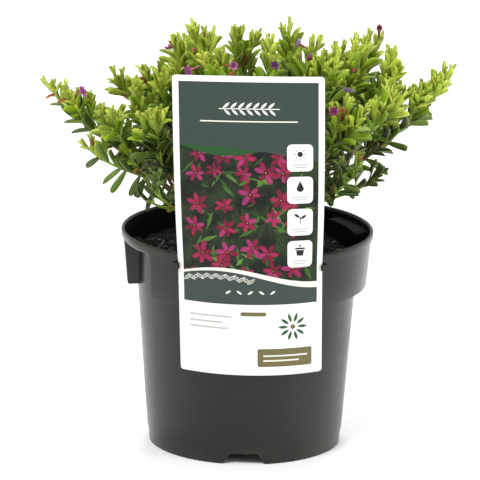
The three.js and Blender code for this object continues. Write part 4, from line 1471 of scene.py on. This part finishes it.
# Long old leaves that stand or hang below the shoots, each on its own
singleLeaves = [  # shoot, foot, tip, width, age, how far it shows its face, tint, blade form
    (0, (-91.6, -5.8, 180.5), (-101.8, -7, 181), 2.4, 0.65, 0.0, 0.5, 2),
    (0, (-86.1, -5.8, 176.1), (-97.8, -7, 175.2), 2.6, 0.75, 0.0, 0.3, 2),
    (1, (-81.3, -25, 165.3), (-88.5, -27, 160), 3.6, 0.85, 0.6, 0.4, 0),
    (1, (-69.2, -25.3, 159.5), (-79.6, -27, 151), 3.2, 0.5, 0.6, 0.5, 2),
    (1, (-66.7, -25.4, 158.6), (-74.8, -27, 146.3), 3.8, 0.6, 0.8, 0.3, 0),
    (1, (-59, -25.4, 155.9), (-64.3, -26, 144.5), 3.6, 0.8, 0.7, 0.4, 3),
    (1, (-56.4, -25.4, 155), (-61.2, -26, 144), 4.4, 0.9, 0.9, 0.6, 1),
    (1, (-47.4, -24.9, 151.3), (-57.3, -27, 136.5), 3.4, 0.85, 0.5, 0.7, 4),
    (1, (-42.4, -24.4, 148.6), (-44.8, -25, 139), 4.2, 0.95, 0.9, 0.6, 1),
    (3, (-38.1, -3.8, 138.6), (-44.4, -5, 130.5), 3.6, 0.7, 0.9, 2.0, 0),
    (0, (-107, -5.9, 196), (-112, -6, 193.6), 2, 0.5, 0.4, 0.99, 2),
    (0, (-101.7, -5.9, 189.8), (-109.6, -7, 190.8), 2.2, 0.6, 0.0, 0.5, 2),
    (0, (-99, -12.5, 195.4), (-105.4, -13, 192.9), 2.4, 0.5, 0.5, 0.99, 2),
    (2, (-69, 11.6, 194.8), (-78.3, 11, 195), 2.6, 0.5, 0.3, 0.5, 2),
    (2, (-71.4, 10.4, 198.4), (-78.3, 10, 200), 2.6, 0.3, 0.3, 0.5, 2),
    (31, (-39.6, 55.6, 201.5), (-46.8, 55, 208), 2.8, 0.3, 0.4, 0.5, 2),
    (2, (-52, 14, 158), (-60, 2, 155.5), 2.6, 0.8, 0.4, 0.99, 2),
    (18, (74.2, 3.7, 205), (81.8, 3, 210), 2.2, 0.3, 0.2, 0.5, 2),
    (21, (93, -7.2, 193.3), (102.5, -8, 196.8), 2.8, 0.45, 0.4, 0.5, 2),
    (21, (83.4, -3.7, 179), (94.8, -5, 184.5), 2.8, 0.6, 0.2, 0.4, 2),
    (21, (78.7, -3.6, 174.7), (88, -5, 180), 2.6, 0.55, 0.3, 0.5, 0),
    (21, (68.9, -3.5, 166.1), (79.2, -5, 167), 3, 0.75, 0.4, 0.5, 2),
    (21, (63.9, -3.4, 161.8), (77.9, -5, 155), 4.4, 0.65, 0.6, 0.4, 4),
    (41, (57.3, 35.2, 148.4), (69, 34, 145.6), 3.6, 0.8, 0.5, 0.5, 0),
    (18, (48.4, -2, 151.6), (56.3, -4, 154.3), 3.4, 0.8, 0.5, 0.5, 0),
    (19, (48.3, -26.3, 158.3), (58.8, -28, 145), 3.8, 0.75, 0.7, 0.6, 4),
    (16, (42.7, -2.1, 152.2), (46.4, -4, 143), 4.4, 0.9, 0.9, 0.6, 1),
    (19, (42.1, -26.2, 149.9), (46, -28, 140.8), 4, 0.9, 0.8, 0.6, 3),
]


def addSingleLeaves(sketches):
    for shoot, foot, end, width, age, shown, tint, kind in singleLeaves:
        foot, end = Vector(foot), Vector(end)
        axis = (end - foot).normalized()
        hint = up * (1 - shown) + Vector((0, -1, 0)) * shown
        face = (hint - axis * hint.dot(axis)).normalized()
        length = (end - foot).length
        leaf = (axis, face, Vector((length, width, length)), kind)
        sketches[shoot].add(foot, age=age, tint=tint, leaf=leaf)


def addStem(sketch, path, footRadius, tipRadius, steps, fromTipAtFoot=0.0):
    spots = [path.point(i / steps) for i in range(steps + 1)]
    radii = [footRadius + (tipRadius - footRadius) * i / steps for i in range(steps + 1)]
    ages = [smooth((path.length * (1 - i / steps) + fromTipAtFoot) / 90) for i in range(steps + 1)]
    sketch.line(spots, radii, ages)


def leafStem(sketch, path, side, key, footRadius):
    plan = leafPlan
    count = int(path.length * plan["leafyShare"] / plan["pitch"])
    for step in range(count):
        fromTip = 0.4 + step * plan["pitch"]
        along = 1 - fromTip / path.length
        node = step * 2
        for pair in (0, 1):
            angle = 45 + 90 * step + 180 * pair + spread(key, node, 5 + pair, plan["turnUneven"])
            grown = plan["tipLength"] + (plan["length"] - plan["tipLength"]) * smooth(fromTip / 16)
            length = (grown + 0.3) * (1 + spread(key, node, 9 + pair, 0.25))
            radius = footRadius + (stemPlan["tipRadius"] - footRadius) * along
            addLeaf(sketch, path, side, along, fromTip, angle, (key, node, 7 + pair), length, radius)


# Short side twigs wind round a stem and turn up towards the light
def addTwigs(sketch, path, side, key):
    plan = twigPlan
    fromTip, number = plan["first"], 0
    while fromTip < path.length * plan["share"]:
        seed = (key + 400, number, 2)
        part = path.part(1 - fromTip / path.length)
        tangent = path.tangent(part)
        across, rise = crossFrame(tangent, side)
        turn = math.radians(137.5 * number + spread(*seed, 25))
        outward = across * math.cos(turn) + rise * math.sin(turn)
        heading = tangent * plan["along"] + up * plan["upward"] + outward * plan["outward"]
        heading.normalize()
        length = min(plan["length"] + plan["more"] * fromTip, plan["longest"])
        length *= 0.8 + 0.4 * jitter(key, number, 6)
        start = path.point(part)
        tip = start + heading * length + up * 0.08 * length
        if outward.z > -0.6 and isFree(tip) and isFree(start.lerp(tip, 0.6)):
            growTwig(sketch, start, heading, tip, key * 20 + number, fromTip)
        fromTip += plan["every"] * plan["crowded"].get(key // 4, 1) + spread(key + 420, number, 1, 2)
        number += 1


def growTwig(sketch, start, heading, tip, key, fromTipAtFoot):
    plan = twigPlan
    twig = BentPath([start, start + heading * 3, tip - (heading + up * 0.3).normalized() * 4, tip], 30)
    side = sideOf(start, tip)
    addStem(sketch, twig, plan["radius"], 0.4, 4, fromTipAtFoot * 0.4)
    for step in range(int((twig.length - 2.5) / plan["pitch"])):
        fromTip = 0.3 + step * plan["pitch"]
        along = 1 - fromTip / twig.length
        for pair in (0, 1):
            seed = (key, step + 70, 7 + pair)
            angle = 90 * step + 180 * pair + spread(*seed, leafPlan["turnUneven"])
            length = plan["tipLeaf"] + (plan["leaf"] - plan["tipLeaf"]) * smooth(fromTip / 9)
            length += spread(key, step, 3 + pair, 1)
            addLeaf(sketch, twig, side, along, fromTip + fromTipAtFoot * 0.25, angle, seed, length, 0.45)


bloomPlan = {
    "radius": 3.6,
    "petals": 6,
    "blooms": [  # CAD node, shoot, place, colour, how far it is open
        ("bloom_far_left", 0, (-92, -12, 199), 0xb02ca0, 1.0),
        ("bloom_card_edge", 9, (-33, -32, 216), 0xa51f94, 1.0),
        ("bloom_front_pink", 9, (-10, -31, 219), 0xc46aa8, 0.5),
        ("bloom_dark_bud", 8, (-20, 2, 213), 0x3d1746, 0.15),
        ("bloom_front_purple", 11, (13, -29, 219), 0x7c2f86, 0.35),
        ("bloom_lilac", 13, (27, -5, 226), 0xa98ac0, 0.7),
        ("bloom_top_red", 14, (34, -18, 221), 0x7a1e46, 0.4),
        ("bloom_right_magenta", 26, (46, -55, 200), 0x9c1a6c, 0.6),
        ("bloom_right_grey", 26, (53, -43, 208), 0x77688c, 0.9),
        ("bloom_red_bud", 17, (71, 14, 231), 0xa02848, 0.2),
        ("bloom_back_left", 31, (-45, 57, 210), 0xa8289c, 1.0),
        ("bloom_back_top", 33, (14, 74, 208), 0xb02ca0, 0.9),
        ("bloom_back_right", 40, (62, 62, 178), 0xa8289c, 1.0),
    ],
    "spent": [(-46, -42, 191), (-31, 0, 221), (15, -22, 216), (57, -8, 213), (-108, -8, 196), (60, 40, 190),
              (-30, 62, 198)],
}


def nearestSpot(paths, spot):
    best = min(((path, i / 30) for path in paths for i in range(2, 31)),
               key=lambda pair: (pair[0].point(pair[1]) - spot).length)
    return best[0].point(best[1])


def addCalyx(sketch, foot, mouth, flush):
    spots = [foot.lerp(mouth, t) for t in (0, 0.3, 0.45, 0.7, 0.9, 1)]
    thick = (0.4, 0.45, 0.8, 0.72, 0.8, 1.0)
    sketch.line(spots, thick, (0.2,) * 6, (0.15, 0.3 * flush, flush, flush, flush, flush))


def shootPaths(index):
    limb, share, tips = shoots[index]
    tips = [Vector(tip) for tip in tips]
    start = limbs[limb].point(share)
    main = stemCurve(start, limbs[limb].tangent(share), tips[0])
    paths = [(main, sideOf(start, tips[0]), index * 4, stemPlan["footRadius"])]
    for i, tip in enumerate(tips[1:]):
        fork = main.point(0.56 + 0.14 * i)
        path = stemCurve(fork, (tip - fork).normalized(), tip)
        paths.append((path, sideOf(start, tip), index * 4 + i + 1, stemPlan["footRadius"] * 0.75))
    return paths


allPaths = [shootPaths(index) for index in range(len(shoots))]


# painted shade: these low shoots are darkened along the age ramp, partly for older leaves and partly as
# painted shade under the foliage
agedAndShadedShoots = {22: 0.55, 23: 0.5, 25: 0.45, 27: 0.4, 41: 0.3}  # low old shoots, and how much older they look


def sketchShoot(index):
    sketch = ShootSketch(agedAndShadedShoots.get(index, 0))
    for path, side, key, radius in allPaths[index]:
        addStem(sketch, path, radius, stemPlan["tipRadius"], 12)
        leafStem(sketch, path, side, key, radius)
        addTwigs(sketch, path, side, key)
    own = [row[0] for row in allPaths[index]]
    for node, owner, place, hexCode, opened in bloomPlan["blooms"]:
        if owner == index:
            spot = Vector(place)
            foot = nearestSpot(own, spot)
            addCalyx(sketch, foot, spot - (spot - foot).normalized() * 0.7, 0.8)
    return sketch


def addSpentCalyxes(sketches):
    for number, place in enumerate(bloomPlan["spent"]):
        spot = Vector(place)
        owner = min(range(len(shoots)),
                    key=lambda i: (nearestSpot([row[0] for row in allPaths[i]], spot) - spot).length)
        foot = nearestSpot([row[0] for row in allPaths[owner]], spot)
        heading = (spot - foot).normalized()
        addCalyx(sketches[owner], foot, foot + heading * min((spot - foot).length, 9), 1.0)


bladePlan = {
    "stations": (0, 0.1, 0.3, 0.55, 0.78, 0.93, 1),
    "columns": (-1, 0, 1),
    "forms": [  # downward curl, fold at the midrib, width at each station
        (-0.06, 0.4, (0.16, 0.5, 0.84, 1.0, 0.98, 0.74, 0.26)),
        (-0.16, 0.5, (0.14, 0.4, 0.74, 0.95, 1.0, 0.8, 0.3)),
        (0.04, 0.32, (0.16, 0.6, 0.95, 1.0, 0.84, 0.5, 0.1)),
        (-0.12, 0.44, (0.15, 0.5, 0.86, 1.0, 0.95, 0.68, 0.22)),
        (0.36, 0.3, (0.14, 0.45, 0.8, 1.0, 0.93, 0.66, 0.2)),
    ],
}


# A blade one unit long and one wide, with a folded midrib and a thin closed body
def makeBlade(name, curl, fold, widths):
    stations, columns = bladePlan["stations"], bladePlan["columns"]
    points, faces, places = [], [], []
    for u, width in zip(stations, widths):
        for v in columns:
            points.append((u, v * width / 2, fold * width / 2 * abs(v) - curl * u * u))
            places.append((u, 0.5 + v / 2))
    top = len(points)
    for (x, y, z), (u, v) in zip(points[:top], places[:top]):
        points.append((x, y * 0.97, z - (0.034 if v == 0.5 else 0.01)))
        places.append((u, v))
    wide = len(columns)
    for i in range(len(stations) - 1):
        for j in range(wide - 1):
            a = i * wide + j
            faces.append((a, a + wide, a + wide + 1, a + 1))
            faces.append((top + a, top + a + 1, top + a + wide + 1, top + a + wide))
    rim = [i * wide for i in range(len(stations))]
    rim += [(len(stations) - 1) * wide + j for j in range(1, wide)]
    rim += [i * wide + wide - 1 for i in reversed(range(len(stations) - 1))]
    rim += [j for j in reversed(range(1, wide - 1))]
    for a, b in zip(rim, rim[1:] + rim[:1]):
        faces.append((b, a, top + a, top + b))
    mesh = bpy.data.meshes.new(name)
    mesh.from_pydata(points, [], faces)
    layer = mesh.uv_layers.new(name="UVMap")
    for polygon in mesh.polygons:
        for corner in polygon.loop_indices:
            layer.data[corner].uv = places[mesh.loops[corner].vertex_index]
    work = bmesh.new()
    work.from_mesh(mesh)
    bmesh.ops.recalc_face_normals(work, faces=work.faces)
    work.to_mesh(mesh)
    work.free()
    mesh.shade_smooth()
    return mesh


def makeBlades(keep):
    for number, form in enumerate(bladePlan["forms"]):
        keep.objects.link(bpy.data.objects.new(f"blade{number}", makeBlade(f"blade{number}", *form)))


# Round stems along the sketched lines, and a blade on each leaf point, turned to its axis and face
def makeShootTree():
    tree, given, result = newTree("leafyShoot", [
        ("Stem Sides", "NodeSocketInt", 7),
        ("Blades", "NodeSocketCollection", None),
        ("Stem Material", "NodeSocketMaterial", None),
        ("Leaf Material", "NodeSocketMaterial", None),
    ])
    isLeaf = stored(tree, "isLeaf", "BOOLEAN")
    isStem = put(tree, "FunctionNodeBooleanMath", {0: isLeaf}, operation="NOT").outputs[0]
    lines = put(tree, "GeometryNodeMeshToCurve", {"Mesh": given["Geometry"], "Selection": isStem}).outputs[0]
    ring = put(tree, "GeometryNodeCurvePrimitiveCircle", {"Resolution": given["Stem Sides"], "Radius": 1.0})
    stems = put(tree, "GeometryNodeCurveToMesh", {
        "Curve": lines, "Profile Curve": ring.outputs[0], "Scale": stored(tree, "stemRadius", "FLOAT"),
        "Fill Caps": True,
    }).outputs[0]
    round_ = put(tree, "GeometryNodeSetShadeSmooth", {"Geometry": stems}).outputs[0]
    shapes = put(tree, "GeometryNodeCollectionInfo", {
        "Collection": given["Blades"], "Separate Children": True, "Reset Children": True,
    }).outputs[0]
    turn = put(tree, "FunctionNodeAxesToRotation", {
        0: stored(tree, "leafFace", "FLOAT_VECTOR"), 1: stored(tree, "leafAxis", "FLOAT_VECTOR"),
    }, primary_axis="Z", secondary_axis="X").outputs[0]
    leaves = put(tree, "GeometryNodeInstanceOnPoints", {
        "Points": given["Geometry"], "Selection": isLeaf, "Instance": shapes, "Pick Instance": True,
        "Instance Index": stored(tree, "leafKind", "INT"), "Rotation": turn,
        "Scale": stored(tree, "leafSize", "FLOAT_VECTOR"),
    }).outputs[0]
    joined = put(tree, "GeometryNodeJoinGeometry")
    tree.links.new(leaves, joined.inputs[0])
    tree.links.new(round_, joined.inputs[0])
    whole = put(tree, "GeometryNodeRealizeInstances", {"Geometry": joined.outputs[0]}).outputs[0]
    barky = put(tree, "GeometryNodeSetMaterial", {"Geometry": whole, "Material": given["Stem Material"]})
    green = put(tree, "GeometryNodeSetMaterial", {
        "Geometry": barky.outputs[0], "Selection": isLeaf, "Material": given["Leaf Material"],
    }).outputs[0]
    tree.links.new(green, result["Geometry"])
    return tree


bladeBox = bpy.data.collections.new("bladeShapes")
makeBlades(bladeBox)
shootTree = makeShootTree()
sketches = [sketchShoot(index) for index in range(len(shoots))]
addSpentCalyxes(sketches)
addSingleLeaves(sketches)
leafTotal, faceTotal = 0, 0
for index, sketch in enumerate(sketches):
    name = f"leafyShoot{index + 1:02d}"
    piece = grow(linkPiece(name, sketch.mesh(name)), shootTree,
                 drop=("stemRadius", "leafAxis", "leafFace", "leafSize", "leafKind", "isLeaf"),
                 **{"Stem Sides": stemPlan["sides"], "Blades": bladeBox, "Stem Material": stemMaterial,
                    "Leaf Material": leafMaterial})
    leafTotal += sum(sketch.leafy)
    faceTotal += len(piece.data.polygons)
    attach(piece, "root")
    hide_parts(f"leafy_shoot_{index + 1:02d}")
print("shoots grown:", leafTotal, "leaves,", faceTotal, "faces")


# Woody crown: trunk and limbs with a rough skin

def makeWoodTree():
    tree, given, result = newTree("roughLimbs", [
        ("Sides", "NodeSocketInt", 14),
        ("Relief", "NodeSocketFloat", 0.0006),
        ("Grain", "NodeSocketFloat", 260.0),
        ("Bark", "NodeSocketMaterial", None),
    ])
    lines = put(tree, "GeometryNodeMeshToCurve", {"Mesh": given["Geometry"]}).outputs[0]
    ring = put(tree, "GeometryNodeCurvePrimitiveCircle", {"Resolution": given["Sides"], "Radius": 1.0})
    wood = put(tree, "GeometryNodeCurveToMesh", {
        "Curve": lines, "Profile Curve": ring.outputs[0], "Scale": stored(tree, "stemRadius", "FLOAT"),
        "Fill Caps": True,
    }).outputs[0]
    rough = put(tree, "ShaderNodeTexNoise", {"Scale": given["Grain"], "Detail": 4.0}).outputs["Fac"]
    out = calc(tree, "MULTIPLY", calc(tree, "SUBTRACT", rough, 0.5), given["Relief"])
    normal = put(tree, "GeometryNodeInputNormal").outputs[0]
    push = put(tree, "ShaderNodeVectorMath", {0: normal, "Scale": out}, operation="SCALE").outputs[0]
    moved = put(tree, "GeometryNodeSetPosition", {"Geometry": wood, "Offset": push}).outputs[0]
    soft = put(tree, "GeometryNodeSetShadeSmooth", {"Geometry": moved}).outputs[0]
    whole = put(tree, "GeometryNodeRealizeInstances", {"Geometry": soft}).outputs[0]
    barky = put(tree, "GeometryNodeSetMaterial", {"Geometry": whole, "Material": given["Bark"]}).outputs[0]
    tree.links.new(barky, result["Geometry"])
    return tree


def makeCrown():
    plan = crownPlan
    sketch = ShootSketch()
    heights = [84, 90, 96, 102, 106, 108, 110, 113, 116, 118, 120, 121.5, 122]
    radii = [3.4, 4.2, 4.2, 4.3, 4.3, 4.3, 4.1, 3.8, 3.4, 3.1, 2.5, 1.9, 1.2]
    sketch.line([Vector((0, 0, height)) for height in heights], radii, [1.0] * len(heights))
    for limb in limbs:
        steps = 26
        spots = [limb.point(i / steps) for i in range(steps + 1)]
        thinning = plan["limbEnd"] - plan["limbFoot"]
        thick = [plan["limbFoot"] + thinning * i / steps for i in range(steps + 1)]
        knots = [radius * (1 + 0.1 * jitter(i, 5, steps)) for i, radius in enumerate(thick)]
        sketch.line(spots, knots, [1.0] * (steps + 1))
    piece = linkPiece("woodyCrown", sketch.mesh("woodyCrown"))
    return grow(piece, makeWoodTree(), Bark=barkMaterial, Relief=0.0009,
                drop=("stemRadius", "leafAxis", "leafFace", "leafSize", "leafKind", "isLeaf"))


crown = makeCrown()
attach(crown, "root")
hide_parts("woody_crown")
print("crown made:", len(crown.data.polygons), "faces")


# Blooms: a whorl of crinkled petals on a short throat, with stamens

def makeWhorlTree():
    tree, given, result = newTree("petalWhorl", [
        ("Count", "NodeSocketInt", 6),
        ("Ring Radius", "NodeSocketFloat", 0.0005),
        ("Lift", "NodeSocketFloat", 0.3),
        ("Unevenness", "NodeSocketFloat", 0.2),
        ("Seed", "NodeSocketInt", 1),
        ("Shape", "NodeSocketObject", None),
        ("Finish", "NodeSocketMaterial", None),
    ])
    ring = put(tree, "GeometryNodeMeshCircle", {"Vertices": given["Count"], "Radius": given["Ring Radius"]})
    number = put(tree, "GeometryNodeInputIndex").outputs[0]
    turn = calc(tree, "DIVIDE", calc(tree, "MULTIPLY", number, 2 * math.pi), given["Count"])
    uneven = put(tree, "FunctionNodeRandomValue", {2: -1.0, 3: 1.0, "Seed": given["Seed"]},
                 data_type="FLOAT").outputs[1]
    lift = calc(tree, "ADD", given["Lift"], calc(tree, "MULTIPLY", uneven, given["Unevenness"]))
    tipped = calc(tree, "MULTIPLY", lift, -1.0)
    angles = put(tree, "ShaderNodeCombineXYZ", {"Y": tipped, "Z": turn}).outputs[0]
    rotation = put(tree, "FunctionNodeEulerToRotation", {0: angles}).outputs[0]
    shape = put(tree, "GeometryNodeObjectInfo", {"Object": given["Shape"]}).outputs["Geometry"]
    placed = put(tree, "GeometryNodeInstanceOnPoints", {
        "Points": ring.outputs[0], "Instance": shape, "Rotation": rotation,
    }).outputs[0]
    whole = put(tree, "GeometryNodeRealizeInstances", {"Geometry": placed}).outputs[0]
    done = put(tree, "GeometryNodeSetMaterial", {"Geometry": whole, "Material": given["Finish"]}).outputs[0]
    tree.links.new(done, result["Geometry"])
    return tree


def makePetalShape():
    stations = [i / 7 for i in range(8)]
    columns = (-1, -0.6, -0.2, 0.2, 0.6, 1)
    points, faces, places = [], [], []
    length = bloomPlan["radius"] - 0.5
    for layer in (0, 1):
        for u in stations:
            half = 0.22 + 1.05 * math.sin(math.pi * min(u * 0.92 + 0.04, 1)) ** 0.8
            for v in columns:
                crinkle = 0.16 * math.sin(v * 9 + u * 4) * u
                cup = 0.3 * u * v * v + 0.35 * u * u
                points.append((u * length, v * half * 0.5 * length * 0.62, crinkle + cup - 0.16 * layer))
                places.append((u, 0.5 + v / 2))
    wide, top = len(columns), len(stations) * len(columns)
    for i in range(len(stations) - 1):
        for j in range(wide - 1):
            a = i * wide + j
            faces.append((a, a + wide, a + wide + 1, a + 1))
            faces.append((top + a, top + a + 1, top + a + wide + 1, top + a + wide))
    rim = [i * wide for i in range(len(stations))] + [top - wide + j for j in range(1, wide)]
    rim += [i * wide + wide - 1 for i in reversed(range(len(stations) - 1))] + list(range(wide - 2, 0, -1))
    for a, b in zip(rim, rim[1:] + rim[:1]):
        faces.append((b, a, top + a, top + b))
    mesh = meshOf("petalShape", points, faces)
    layer = mesh.uv_layers.new(name="UVMap")
    for polygon in mesh.polygons:
        for corner in polygon.loop_indices:
            layer.data[corner].uv = places[mesh.loops[corner].vertex_index]
    work = bmesh.new()
    work.from_mesh(mesh)
    bmesh.ops.recalc_face_normals(work, faces=work.faces)
    work.to_mesh(mesh)
    work.free()
    mesh.shade_smooth()
    return bpy.data.objects.new("petalShape", mesh)


# A thin filament along +X with a small round anther at its end
def makeStamenShape():
    work = bmesh.new()
    turn = Matrix.Rotation(math.radians(90), 4, "Y")
    bmesh.ops.create_cone(work, cap_ends=True, segments=6, radius1=0.09 * mm, radius2=0.06 * mm,
                          depth=2.2 * mm, matrix=Matrix.Translation((1.1 * mm, 0, 0)) @ turn)
    anther = Matrix.Translation((2.3 * mm, 0, 0))
    bmesh.ops.create_icosphere(work, subdivisions=1, radius=0.24 * mm, matrix=anther)
    mesh = bpy.data.meshes.new("stamenShape")
    work.to_mesh(mesh)
    work.free()
    mesh.shade_smooth()
    return bpy.data.objects.new("stamenShape", mesh)


def joinMeshes(name, pieces):
    work = bmesh.new()
    materials = []
    for piece in pieces:
        for polygon in piece.data.polygons:
            polygon.material_index = len(materials)
        work.from_mesh(piece.data)
        materials.append([material for material in piece.data.materials if material][-1])
        bpy.data.objects.remove(piece)
    mesh = bpy.data.meshes.new(name)
    work.to_mesh(mesh)
    work.free()
    return linkPiece(name, mesh, *materials)


def makeThroat(name, material):
    work = bmesh.new()
    bmesh.ops.create_uvsphere(work, u_segments=14, v_segments=8, radius=0.85 * mm)
    for vertex in work.verts:
        vertex.co.z *= 0.75
    mesh = bpy.data.meshes.new(name)
    work.to_mesh(mesh)
    work.free()
    mesh.uv_layers.new(name="UVMap")
    mesh.shade_smooth()
    return linkPiece(name, mesh, material)


def makeBloom(number, node, owner, place, hexCode, opened):
    words = node.split("_")
    name = words[0] + "".join(word.capitalize() for word in words[1:])
    petalMaterial = makePetalMaterial(name + "Petals", hexCode)
    spot = Vector(place)
    heading = (spot - nearestSpot([row[0] for row in allPaths[owner]], spot)).normalized()
    heading = (heading + Vector((0, 0.4 if spot.y > 20 else -0.4, 0.15))).normalized()
    empty = lambda label: linkPiece(label, bpy.data.meshes.new(label))
    petals = grow(empty(name + "Whorl"), whorlTree, **{
        "Count": bloomPlan["petals"], "Ring Radius": 0.45 * mm, "Lift": 1.25 - 1.05 * opened,
        "Unevenness": 0.16, "Seed": number + 3, "Shape": petalShape, "Finish": petalMaterial,
    })
    stamens = grow(empty(name + "Stamens"), whorlTree, **{
        "Count": 9, "Ring Radius": 0.3 * mm, "Lift": 1.2, "Unevenness": 0.25, "Seed": number + 40,
        "Shape": stamenShape, "Finish": stamenMaterial,
    })
    bloom = joinMeshes(name, [petals, stamens, makeThroat(name + "Throat", petalMaterial)])
    across, rise = crossFrame(heading, Vector((0.8, 0.6, 0.1)).normalized())
    turn = Matrix((across, rise, heading)).transposed().to_4x4()
    bloom.data.transform(Matrix.Translation(spot * mm) @ turn)
    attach(bloom, "root")
    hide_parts(node)
    return bloom


whorlTree = makeWhorlTree()
petalShape = makePetalShape()
stamenShape = makeStamenShape()
stamenMaterial = makePetalMaterial("stamens", 0x5a2a5e)
for number, row in enumerate(bloomPlan["blooms"]):
    bloom = makeBloom(number, *row)
print("blooms made:", len(bloomPlan["blooms"]))


# The shapes that were only scattered are not part of the object
for box in (chipBox, bladeBox):
    for shape in list(box.objects):
        bpy.data.objects.remove(shape)
    bpy.data.collections.remove(box)
for shape in (petalShape, stamenShape):
    bpy.data.objects.remove(shape)
